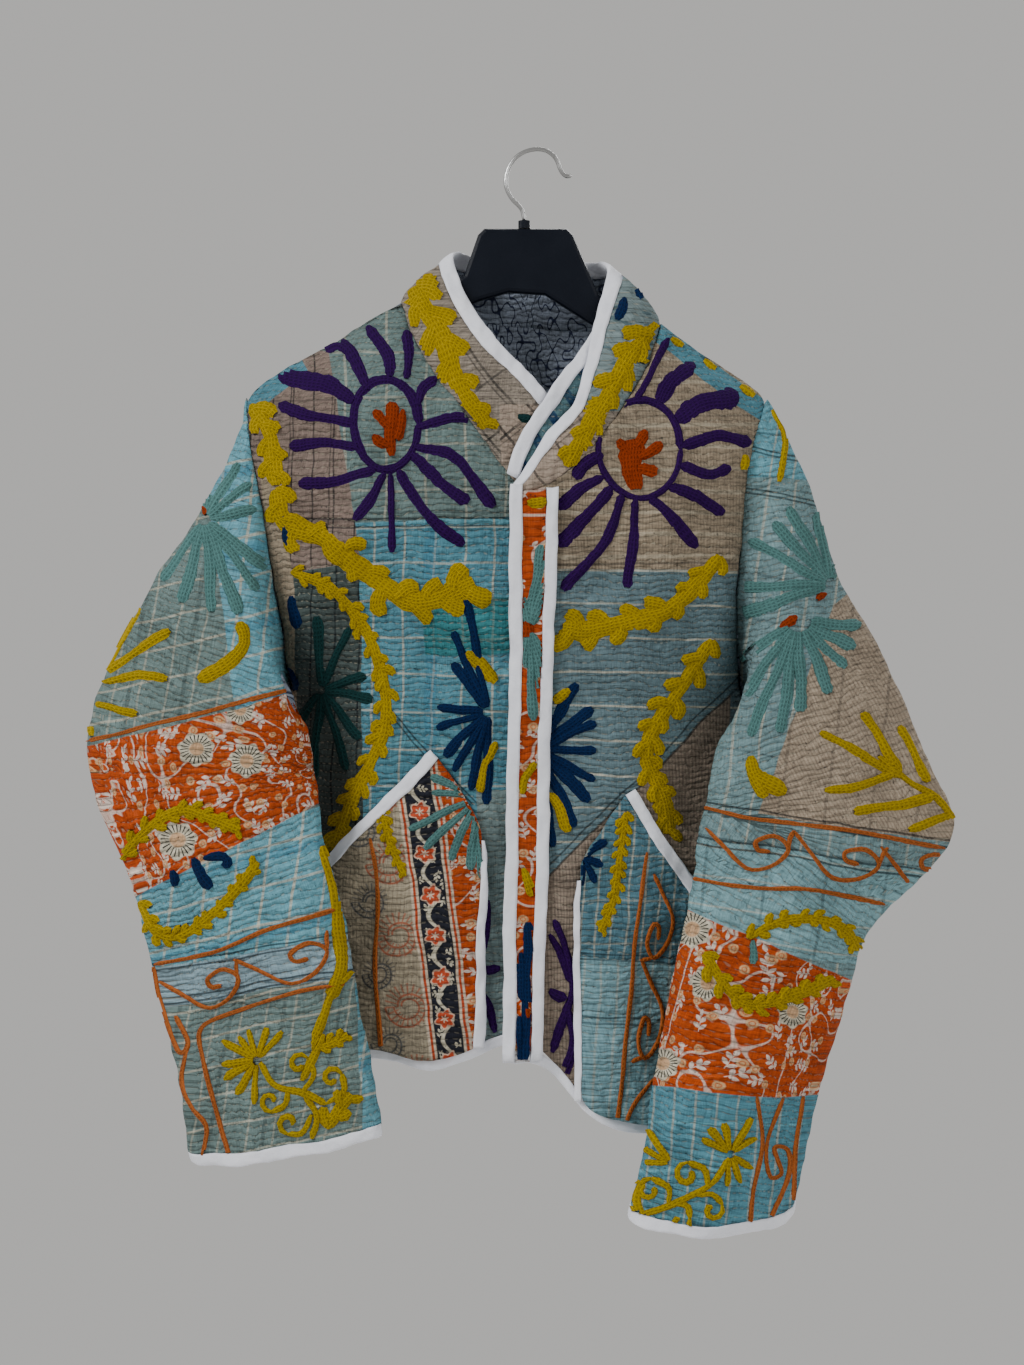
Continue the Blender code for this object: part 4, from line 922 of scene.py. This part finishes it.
def meet(x, y, cloth, behind):
    """The point of the cloth at a place in the view, or behind it, and the way out of the cloth."""
    side = -1 if behind else 1
    eye = Vector((EYE.x, EYE.y * side, EYE.z))
    way = Vector(((x - MIDDLE[0]) * VIEW, side, (MIDDLE[1] - y) * VIEW))
    place, out, _, _ = cloth.ray_cast(eye, way)
    if place is None or out.dot(way) > -0.1 * way.length:
        return None, None
    return place, out


def worked(name, thread, onto, lines, behind=False, rise=1.5):
    """A piece of embroidery from its lines, each a path in the view and a width, with its rise in mm."""
    slot, carrier, *_ = ONTO[onto]
    whole = bmesh.new()
    layer = whole.loops.layers.uv.new("thread")
    for number, (path, width) in enumerate(lines):
        path = np.asarray(path, float)
        length = np.linalg.norm(np.diff(path, axis=0), axis=1).sum()
        steps = max(3, round(length / STEP))
        line = smooth(path, steps)
        run = np.gradient(line, axis=0)
        run /= np.maximum(np.linalg.norm(run, axis=1, keepdims=True), 1e-6)
        gone = np.linspace(0, length, steps + 1)
        # Blunt ends, a swell toward the far one, and the small wavering of hand stitches.
        from_end = np.minimum(gone, length - gone) / (width / 2)
        half = width / 2 * np.sqrt(np.clip(1 - (1 - np.clip(from_end, 0.12, 1)) ** 2, 0, 1))
        half *= 0.86 + 0.26 * gone / length + 0.1 * np.sin(gone / 9 + chance.uniform(0, 6))
        sway = 0.13 * width * np.sin(gone / 15 + chance.uniform(0, 6)) * np.sin(math.pi * gone / length)
        line = line + np.stack([-run[:, 1], run[:, 0]], -1) * sway[:, None]
        # The ridge: four strips of faces over the line's width, laid on the cloth.
        verts = bmesh.ops.create_grid(whole, x_segments=steps, y_segments=4, size=0.5)["verts"]
        missed, laid = [], {}
        lift = rise * (1 + 0.12 * (number % 4)) * 1e-3
        for vert in verts:
            i, j = round((vert.co.x + 0.5) * steps), vert.co.y * 2
            off = j * half[i] * (1 + 0.1 * chance.uniform(-1, 1))
            x, y = line[i, 0] - run[i, 1] * off, line[i, 1] + run[i, 0] * off
            place, out = meet(x, y, grounds[onto], behind)
            if place is None:
                missed.append(vert)
                continue
            laid[vert] = (gone[i] * ON_CLOTH, j * half[i] * ON_CLOTH)
            vert.co = place + out * (lift * math.sqrt(1 - 0.96 * j * j) - EDGE_IN * abs(j) ** 4)
        for vert in laid:
            for loop in vert.link_loops:
                loop[layer].uv = laid[vert]
        met = [edge for vert in laid for edge in vert.link_edges if edge.other_vert(vert) in laid]
        torn = {vert for edge in met for vert in edge.verts if edge.calc_length() > TORN}
        bmesh.ops.delete(whole, geom=missed + list(torn), context="VERTS")
    bmesh.ops.recalc_face_normals(whole, faces=whole.faces)
    toward = Vector((0, 1 if behind else -1, 0))
    for face in whole.faces:
        if face.normal.dot(toward) < 0:
            face.normal_flip()
    mesh = bpy.data.meshes.new(name)
    whole.to_mesh(mesh)
    whole.free()
    mesh.materials.append(threads[thread].material)
    mesh.shade_smooth()
    piece = placed(name, mesh)
    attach(piece, "root")
    sewn_to[carrier].append(piece)


def strokes(*chart):
    """Plain lines. Each row of the chart has a width and the places that the line runs through."""
    return [(path, width) for width, *path in chart]


def rays(x, y, across, tall, chart, width, bend=0.12):
    """Rays that leave an oval. The chart has angles, in degrees from the right by the top, and reaches."""
    lines = []
    for angle, reach in chart:
        turned = math.radians(angle)
        dx, dy = math.cos(turned), -math.sin(turned)
        start = np.array((x + dx * across, y + dy * tall))
        end = np.array((x + dx * reach, y + dy * reach))
        sag = np.array((-dy, dx)) * bend * chance.uniform(0.3, 1) * reach * (1 if dx > 0 else -1)
        lines.append(([start, (start + end) / 2 + sag * 0.4, end + sag], width * chance.uniform(0.85, 1.15)))
    return lines


def ring(x, y, across, tall, width):
    """One line all round an oval, given by half its width and half its height."""
    angles = np.linspace(0, 2 * math.pi, 15)
    return [([(x + across * math.cos(a), y + tall * math.sin(a)) for a in angles], width)]


def leafy(path, width, end=None):
    """A branch in thick leaf stitches: a stem with blunt lobes that lean forward, by turns on each side."""
    end, parts = end or width * 0.75, 30
    path = smooth(path, parts)
    length = np.linalg.norm(np.diff(path, axis=0), axis=1).sum()
    count = max(2, round(length / ((width + end) * 0.38)))
    lines = [(path[::5], (width + end) * 0.5)]
    for k in range(count):
        share = (k + 0.15) / count
        at = min(parts, round(parts * share))
        wide = width + (end - width) * share
        run = path[min(at + 1, parts)] - path[max(at - 1, 0)]
        run = run / np.linalg.norm(run)
        side = np.array((-run[1], run[0])) * (1 if k % 2 else -1)
        reach = wide * 1.15 * chance.uniform(0.85, 1.15)
        tip = path[at] + run * reach * 0.8 + side * reach * 0.72
        lines.append(([path[at], path[at] + run * reach * 0.34 + side * reach * 0.46, tip], wide * 0.78))
    return lines


def curl(start, centre, turns, width):
    """A tendril that leaves a stem and winds in round a centre, to the right if turns is above 0."""
    (x, y), (cx, cy) = start, centre
    first, reach = math.atan2(y - cy, x - cx), math.hypot(x - cx, y - cy)
    path = []
    for share in np.linspace(0, 1, 12):
        angle, near = first + 2 * math.pi * turns * share, reach * (1 - 0.68 * share)
        path.append((cx + near * math.cos(angle), cy + near * math.sin(angle)))
    return [(path, width)]


HOOK = (
    (0, 0.9), (0.22, 0.15), (0.5, -0.75), (0.8, -0.6), (0.98, 0.1), (0.82, 0.62), (0.6, 0.42),
    (0.62, 0.05), (0.76, 0.0),
)
FOLLOW = ((0.98, 0.1), (1.0, 0.55), (1.04, 0.9))


def scrolls(path, wave, count, width):
    """A running scroll: along a line, each wave ends in a hook that winds back into itself."""
    parts = 12  # of the line, for each wave
    line = smooth(path, count * parts)
    lines = []
    for k in range(count):
        start, end = line[k * parts], line[(k + 1) * parts]
        reach = np.linalg.norm(end - start)
        run = (end - start) / reach
        over = np.array((run[1], -run[0]))
        for shape in (HOOK, FOLLOW):
            lines.append(([start + run * a * reach + over * b * wave for a, b in shape], width))
    return lines


# Two great suns in purple on the chest, one on each front: an oval ring, rays that droop, and an orange leaf
# in the middle.
RIGHT_RAYS = (
    (18, (354, 401), (320, 383), (279, 375)),
    (11, (354, 424), (314, 416), (279, 405)),
    (11, (358, 447), (320, 444), (290, 446)),
    (11, (375, 470), (337, 480), (299, 484)),
    (10, (385, 473), (372, 496), (354, 520)),
    (7, (390, 473), (392, 509), (392, 552)),
    (11, (398, 470), (424, 512), (464, 545)),
    (12, (411, 453), (437, 480), (469, 502)),
    (11, (414, 446), (457, 460), (494, 507)),
    (10, (415, 428), (447, 418), (472, 419)),
    (10, (418, 405), (424, 388), (436, 378)),
    (10, (406, 379), (410, 353), (406, 331)),
    (12, (390, 377), (386, 353), (368, 327)),
    (13, (368, 390), (354, 356), (340, 345), (325, 349)),
)
LEFT_RAYS = (
    (16, (660, 403), (668, 382), (694, 365)),
    (20, (676, 420), (708, 403), (738, 396)),
    (12, (682, 446), (716, 437), (750, 443)),
    (11, (680, 465), (708, 473), (730, 468)),
    (12, (668, 486), (695, 497), (724, 513)),
    (11, (650, 497), (668, 515), (697, 547)),
    (10, (636, 499), (632, 545), (627, 588)),
    (10, (622, 495), (608, 536), (562, 590)),
    (13, (611, 487), (590, 515), (558, 545)),
    (12, (603, 477), (580, 491), (558, 508)),
    (14, (602, 454), (586, 466), (574, 478)),
    (7, (636, 400), (650, 374), (668, 339)),
)
worked(
    "purple_suns", "purple", "fronts",
    ring(386, 424, 33, 45, 9)
    + strokes(*RIGHT_RAYS)
    + ring(640, 449, 41, 49, 7)
    + strokes(*LEFT_RAYS),
)
worked(
    "orange_leaves", "flame", "fronts",
    strokes(
        (13, (392, 456), (390, 428), (393, 402)), (10, (391, 428), (374, 411)), (10, (389, 446), (373, 436)),
        (10, (403, 410), (402, 426), (396, 440)), (24, (636, 490), (634, 464), (631, 440)),
        (12, (634, 448), (646, 431)), (11, (638, 458), (662, 444)), (11, (638, 468), (658, 472)),
        (10, (630, 456), (618, 440)),
    ),
    rise=1.9,
)

# Mustard branches in dense leaf stitch that wander over both fronts, the collar and the pockets, with a
# few single stitches in mustard, dark green and navy between them.
worked(
    "mustard_branches_front", "mustard", "fronts",
    leafy([(252, 405), (270, 440), (276, 486)], 17, 14)
    + leafy([(276, 490), (292, 530), (345, 548), (388, 594), (432, 598), (474, 582)], 17, 24)
    + leafy([(292, 572), (336, 592), (366, 634), (386, 690), (378, 745), (350, 806), (334, 850)], 10, 14)
    + leafy([(720, 556), (690, 592), (650, 616), (600, 630), (562, 628)], 14, 22)
    + leafy([(712, 640), (680, 690), (652, 730), (650, 770), (664, 800), (668, 834)], 17, 13)
    + strokes(
        (13, (467, 652), (478, 664), (496, 682)), (10, (496, 742), (486, 768), (480, 792)),
        (12, (553, 702), (570, 690)), (13, (548, 794), (562, 808), (568, 832)), (8, (671, 338), (683, 346)),
        (8, (704, 360), (716, 369)), (8, (740, 386), (754, 396)), (11, (745, 455), (743, 470)),
    ),
    rise=1.8,
)
worked(
    "mustard_branches_collar", "mustard", "collar",
    leafy([(412, 284), (430, 318), (452, 366), (474, 410), (486, 428)], 27, 13)
    + leafy([(662, 324), (634, 352), (606, 396), (586, 436), (568, 468)], 22, 14),
    rise=1.6,
)
worked("dark_leaf_collar", "green", "collar", strokes((10, (518, 416), (532, 419))))
worked(
    "navy_bits_collar", "navy", "collar",
    strokes((9, (625, 298), (617, 320)), (7, (636, 284), (642, 299))),
)
worked(
    "mustard_sprig_right_pocket", "mustard", "right pocket",
    leafy([(382, 808), (388, 838), (405, 876)], 9),
)
worked(
    "mustard_sprig_left_pocket", "mustard", "left pocket",
    leafy([(626, 812), (620, 852), (615, 896), (600, 932)], 9),
)

# Round flowers of plain rays, dark green and navy on the fronts, teal and navy on pockets and placket, and
# thin purple twigs at the hem.
worked(
    "dark_flower_right_front", "green", "fronts",
    rays(
        322, 690, 4, 4,
        ((92, 74), (68, 68), (20, 46), (350, 52), (310, 62), (288, 84), (262, 90), (232, 40)),
        9, 0.06,
    ),
)
worked(
    "navy_flower_fronts", "navy", "fronts",
    rays(
        488, 712, 5, 5,
        ((98, 114), (112, 88), (122, 60), (172, 50), (196, 54), (222, 62), (238, 68), (256, 80), (272, 92)),
        9, 0.08,
    )
    + strokes((9, (284, 516), (288, 546)), (10, (291, 596), (297, 628)), (8, (288, 668), (296, 690)))
    + rays(
        536, 750, 8, 8,
        ((62, 78), (42, 70), (26, 66), (4, 60), (338, 66), (318, 74), (300, 86), (284, 98)),
        10, 0.1,
    ),
)
worked(
    "purple_twigs_fronts", "purple", "fronts",
    strokes(
        (8, (488, 900), (486, 928), (480, 956)), (9, (478, 970), (500, 968)),
        (8, (478, 988), (488, 1008), (495, 1032)),
        (8, (554, 920), (566, 948), (573, 982), (567, 1008), (552, 1052)),
        (8, (549, 934), (562, 958), (571, 982)), (10, (549, 990), (566, 999)),
        (9, (567, 1008), (573, 1040), (561, 1084)),
    ),
)
worked(
    "teal_flower_right_pocket", "teal", "right pocket",
    rays(
        478, 798, 4, 4,
        ((152, 52), (170, 46), (202, 76), (222, 74), (244, 68), (262, 72), (274, 80)),
        8, 0.06,
    ),
)
worked(
    "navy_star_left_pocket", "navy", "left pocket",
    rays(582, 858, 2, 2, ((36, 30), (64, 26), (300, 28), (262, 32), (232, 24), (340, 22)), 9, 0.04),
)
worked(
    "teal_flower_placket", "teal", "placket",
    rays(
        529, 628, 5, 5,
        ((84, 84), (70, 62), (56, 34), (104, 36), (262, 40), (296, 48), (274, 92), (284, 66)),
        10, 0.05,
    ),
)
worked("orange_eye_placket", "flame", "placket", strokes((13, (527, 621), (527, 637))), rise=2.0)
worked(
    "mustard_bits_placket", "mustard", "placket",
    strokes(
        (12, (527, 503), (546, 501)), (8, (536, 762), (526, 776), (522, 794)),
        (10, (523, 868), (528, 884), (533, 896)),
    ),
)
worked(
    "navy_leaf_placket", "navy", "placket",
    strokes(
        (13, (528, 922), (529, 960), (528, 1000), (525, 1060)), (10, (520, 952), (521, 980), (523, 1000)),
        (10, (519, 1016), (520, 1040), (519, 1060)),
    ),
)
worked("orange_dot_placket", "flame", "placket", strokes((9, (527, 1008), (528, 1017))), rise=2.6)

# Rust lines and running scrolls that frame the old cloth's borders on the pockets and the sleeves, in a
# single line of chain stitch.
worked(
    "rust_line_right_pocket", "rust", "right pocket",
    strokes((4.5, (370, 838), (378, 890), (375, 960), (381, 1052))),
)
worked(
    "rust_scroll_left_pocket", "rust", "left pocket",
    strokes((4.5, (647, 852), (636, 936), (627, 1032), (617, 1128)))
    + scrolls([(668, 876), (655, 960), (646, 1060)], -16, 2, 4.5)
    + strokes((4.5, (654, 1078), (634, 1104), (625, 1128))),
)
worked(
    "rust_scrolls_right_sleeve", "rust", "right sleeve",
    strokes(
        (4.5, (84, 742), (164, 722), (304, 686)), (4.5, (155, 964), (207, 954), (268, 930), (340, 908)),
        (4.5, (344, 984), (292, 993), (230, 1014), (200, 1030), (204, 1062), (216, 1110), (230, 1158)),
    )
    + scrolls([(166, 1002), (240, 980), (330, 952)], 24, 2, 4.5)
    + strokes(
        (4.5, (154, 966), (160, 1000), (178, 1050), (188, 1042), (176, 1016)),
        (4.5, (188, 1044), (182, 1080), (192, 1108), (206, 1128), (202, 1160)),
    ),
)
worked(
    "rust_scrolls_left_sleeve", "rust", "left sleeve",
    strokes(
        (4.5, (698, 806), (761, 820), (834, 828), (944, 848)),
        (4.5, (690, 878), (751, 888), (805, 889), (884, 904)),
    )
    + scrolls([(706, 850), (790, 852), (880, 868), (950, 870)], 24, 3, 4.5)
    + strokes(
        (4.5, (757, 1096), (762, 1143), (754, 1190), (749, 1230)),
        (4.5, (783, 1098), (767, 1143), (770, 1176), (782, 1172), (774, 1148), (788, 1150), (788, 1176),
         (768, 1224)),
        (4, (803, 1096), (796, 1144), (793, 1200)),
    ),
)

# The sleeves' own flowers: a teal ray flower at each upper arm, mustard twigs and branches, and above each
# cuff a mustard flower on a winding stem with curls.
teal_r = rays(
    205, 520, 6, 6,
    ((232, 74), (252, 86), (276, 92), (292, 100), (308, 88), (324, 92), (62, 66), (40, 58), (14, 52),
     (82, 84)),
    10, 0.05,
)
teal_l = (
    rays(
        830, 585, 6, 6,
        ((116, 88), (130, 84), (150, 92), (178, 94), (196, 100), (98, 74), (76, 44)),
        11, 0.06,
    )
    + rays(
        798, 622, 12, 10,
        ((232, 90), (246, 124), (258, 112), (274, 90), (296, 78), (318, 66), (338, 62), (212, 112), (0, 62)),
        11, 0.06,
    )
)
worked("teal_flower_right_sleeve", "teal", "right sleeve", teal_r)
worked("teal_flowers_left_sleeve", "teal", "left sleeve", teal_l + strokes((8, (753, 940), (753, 964))))
worked("orange_dot_right_sleeve", "flame", "right sleeve", strokes((9, (204, 507), (207, 515))), rise=2.0)
worked(
    "orange_dots_left_sleeve", "flame", "left sleeve",
    strokes((9, (780, 628), (796, 617)), (7, (816, 600), (825, 594))),
    rise=2.0,
)
worked(
    "mustard_flowers_right_sleeve", "mustard", "right sleeve",
    strokes(
        (6, (100, 680), (118, 648), (140, 608)), (9, (104, 672), (136, 652), (170, 630)),
        (9, (104, 682), (136, 676), (168, 679)), (8, (93, 703), (138, 714)), (7, (90, 722), (92, 736)),
        (14, (240, 622), (244, 644), (232, 662), (198, 680)),
    )
    + leafy([(118, 862), (146, 830), (184, 811), (212, 818), (240, 830)], 12)
    + leafy([(140, 902), (158, 934), (192, 930), (226, 902), (258, 862)], 11)
    + strokes(
        (13, (322, 846), (334, 890), (340, 930), (340, 968), (331, 998)), (8, (340, 984), (352, 972)),
        (9, (334, 988), (324, 1014), (314, 1040)),
    )
    + rays(
        258, 1060, 4, 4,
        ((150, 40), (128, 30), (106, 32), (76, 34), (52, 38), (208, 38), (236, 40), (262, 44), (186, 36)),
        7, 0.05,
    )
    + strokes(
        (7, (260, 1062), (274, 1084), (302, 1092), (326, 1104)), (7, (304, 1094), (316, 1116), (312, 1138)),
        (8, (324, 1034), (314, 1058), (302, 1080)), (6, (302, 1092), (314, 1074), (308, 1058)),
        (6, (326, 1104), (344, 1092), (342, 1074)),
    )
    + curl((308, 1058), (299, 1064), -0.9, 6)
    + curl((342, 1074), (332, 1078), -0.9, 6)
    + strokes((6, (288, 1088), (286, 1104), (272, 1112)), (6, (312, 1114), (302, 1132), (288, 1134)))
    + curl((272, 1112), (270, 1101), 0.8, 6)
    + curl((288, 1134), (289, 1123), 0.8, 6)
    + leafy([(326, 1128), (340, 1108), (352, 1094)], 15)
    + leafy([(312, 1048), (332, 1042), (348, 1034)], 10),
    rise=1.8,
)
worked(
    "navy_leaves_right_sleeve", "navy", "right sleeve",
    strokes(
        (11, (172, 870), (175, 886)), (11, (193, 858), (200, 874), (211, 888)),
        (11, (204, 858), (224, 858), (227, 868)),
    ),
)
worked(
    "mustard_flowers_left_sleeve", "mustard", "left sleeve",
    strokes(
        (7, (772, 410), (783, 432), (785, 452), (779, 482)), (15, (751, 756), (757, 778), (786, 792)),
        (14, (752, 776), (766, 797)), (10, (862, 712), (880, 740), (900, 772)),
        (9, (899, 726), (914, 752), (928, 782)), (9, (820, 732), (860, 754), (900, 776)),
        (9, (824, 790), (862, 786), (894, 773)), (10, (853, 812), (892, 806), (934, 796)),
        (9, (908, 830), (952, 815)), (7, (878, 756), (908, 780), (934, 796), (953, 818)),
    )
    + leafy([(748, 938), (784, 920), (818, 919), (846, 932), (857, 950)], 11)
    + leafy([(704, 954), (730, 992), (757, 1004), (794, 996), (834, 978)], 13)
    + rays(
        730, 1154, 4, 4,
        ((150, 32), (128, 34), (100, 32), (62, 42), (34, 30), (330, 26), (292, 30), (262, 32)),
        7, 0.05,
    )
    + rays(671, 1163, 3, 3, ((122, 40), (150, 34), (176, 30)), 7, 0.05)
    + strokes(
        (7, (729, 1158), (712, 1184), (678, 1201), (650, 1212), (632, 1219)),
        (6.5, (708, 1188), (704, 1170), (688, 1162)), (6.5, (668, 1204), (668, 1188), (652, 1178)),
    )
    + curl((688, 1162), (687, 1174), -0.9, 6.5)
    + curl((652, 1178), (650, 1190), -0.9, 6.5)
    + strokes((6.5, (696, 1195), (712, 1194), (722, 1204)), (6.5, (672, 1203), (686, 1206), (690, 1218)))
    + curl((722, 1204), (713, 1210), 0.8, 6.5)
    + curl((690, 1218), (680, 1222), 0.8, 6.5)
    + strokes((14, (642, 1180), (636, 1200), (640, 1220))),
    rise=1.8,
)

# The back and the far sides of the sleeves carry the same kinds of flowers, worked from behind: a purple
# sun, mustard branches, single ray flowers, and a rust scroll above the hem.
worked(
    "purple_sun_back", "purple", "back",
    ring(400, 470, 38, 46, 8)
    + rays(400, 470, 38, 46, [(a, 118 + 16 * math.sin(a)) for a in range(10, 370, 26)], 11),
    behind=True,
)
worked(
    "orange_leaf_back", "flame", "back",
    strokes((20, (400, 490), (400, 452)), (11, (400, 470), (420, 456)), (11, (400, 474), (382, 458))),
    behind=True, rise=1.9,
)
worked(
    "mustard_branches_back", "mustard", "back",
    leafy([(640, 380), (600, 450), (610, 540), (660, 610)], 20)
    + leafy([(300, 640), (380, 700), (470, 690), (540, 740)], 20)
    + leafy([(660, 900), (600, 930), (560, 1000), (590, 1060)], 15),
    behind=True, rise=1.8,
)
worked(
    "navy_flower_back", "navy", "back",
    rays(640, 740, 6, 6, [(a, 78) for a in range(0, 360, 30)], 10, 0.08),
    behind=True,
)
worked(
    "teal_flower_back", "teal", "back",
    rays(360, 790, 6, 6, [(a, 70) for a in range(15, 375, 36)], 9, 0.08),
    behind=True,
)
worked(
    "rust_scroll_back", "rust", "back",
    scrolls([(300, 1036), (450, 1040), (600, 1044)], 20, 4, 4.5),
    behind=True,
)
worked(
    "mustard_back_right_sleeve", "mustard", "right sleeve",
    leafy([(170, 560), (190, 640), (240, 690)], 14),
    behind=True,
)
worked(
    "teal_back_right_sleeve", "teal", "right sleeve",
    rays(240, 880, 5, 5, [(a, 52) for a in range(0, 360, 36)], 8, 0.06),
    behind=True,
)
worked(
    "navy_back_left_sleeve", "navy", "left sleeve",
    rays(770, 960, 5, 5, [(a, 56) for a in range(0, 360, 40)], 9, 0.06),
    behind=True,
)
worked(
    "mustard_back_left_sleeve", "mustard", "left sleeve",
    leafy([(850, 600), (800, 680), (820, 760)], 14),
    behind=True,
)

# The cloth as it was cut before it was quilted, sewn and hung: the width and the length of each piece's cut,
# in metres. The bindings and the threads go with the piece that they are sewn to; the loop below only looks
# them up, and the cuts are not used.
CUTS = {
    "right_front": (0.27, 0.60),
    "left_front": (0.27, 0.62),
    "back_panel": (0.54, 0.62),
    "right_sleeve": (0.46, 0.57),
    "left_sleeve": (0.46, 0.60),
    "collar_band": (0.06, 0.58),
    "collar_under_end": (0.03, 0.14),
    "right_pocket": (0.14, 0.23),
    "left_pocket": (0.12, 0.23),
    "placket_band": (0.02, 0.43),
}
for name, (wide, long) in CUTS.items():
    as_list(sewn_to[name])

# The hanger: a broad shoulder hanger moulded in black plastic, with a ferrule in which its bright plated wire
# hook turns. Its middle stands in the collar.
black = Finish("black moulded plastic", 0.42, shine=0.14)
scuffs = black.noise(black.object_place(), 38.0, 4.0)
black.set("Base Color", black.blend((0.002, 0.0035, 0.008, 1), (0.005, 0.0075, 0.014, 1), scuffs))
black.set("Roughness", scuffs * 0.2 + 0.32)
black.bump(black.noise(black.object_place(), 700.0), 0.0003)
for node in ("hanger_body", "hanger_ferrule"):
    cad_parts[node].data.materials.clear()
    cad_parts[node].data.materials.append(black.material)

wire = Finish("bright plated wire", 0.26, metallic=1.0)
tarnish = wire.noise(wire.object_place(), 40.0)
wire.set("Base Color", wire.blend(dye(140, 140, 138), dye(196, 196, 196), tarnish))
wire.set("Roughness", tarnish * 0.2 + 0.2)
hook_shape = bmesh.new()
hook_shape.from_mesh(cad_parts["hanger_hook"].data)
bmesh.ops.remove_doubles(hook_shape, verts=hook_shape.verts, dist=SAME_POINT)
hook_mesh = bpy.data.meshes.new("wire_hook")
hook_shape.to_mesh(hook_mesh)
hook_shape.free()
hook_mesh.shade_smooth()
hook_mesh.materials.append(wire.material)
hook = placed("wire_hook", hook_mesh)
evened = hook.modifiers.new("round wire", "SUBSURF")
evened.levels = evened.render_levels = 2
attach(hook, "root")
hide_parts("hanger_hook")

# The sizes of the CAD model and of this one.
low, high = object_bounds()
{"cad": [list(cad_low), list(cad_high)], "visual": [list(low), list(high)]}
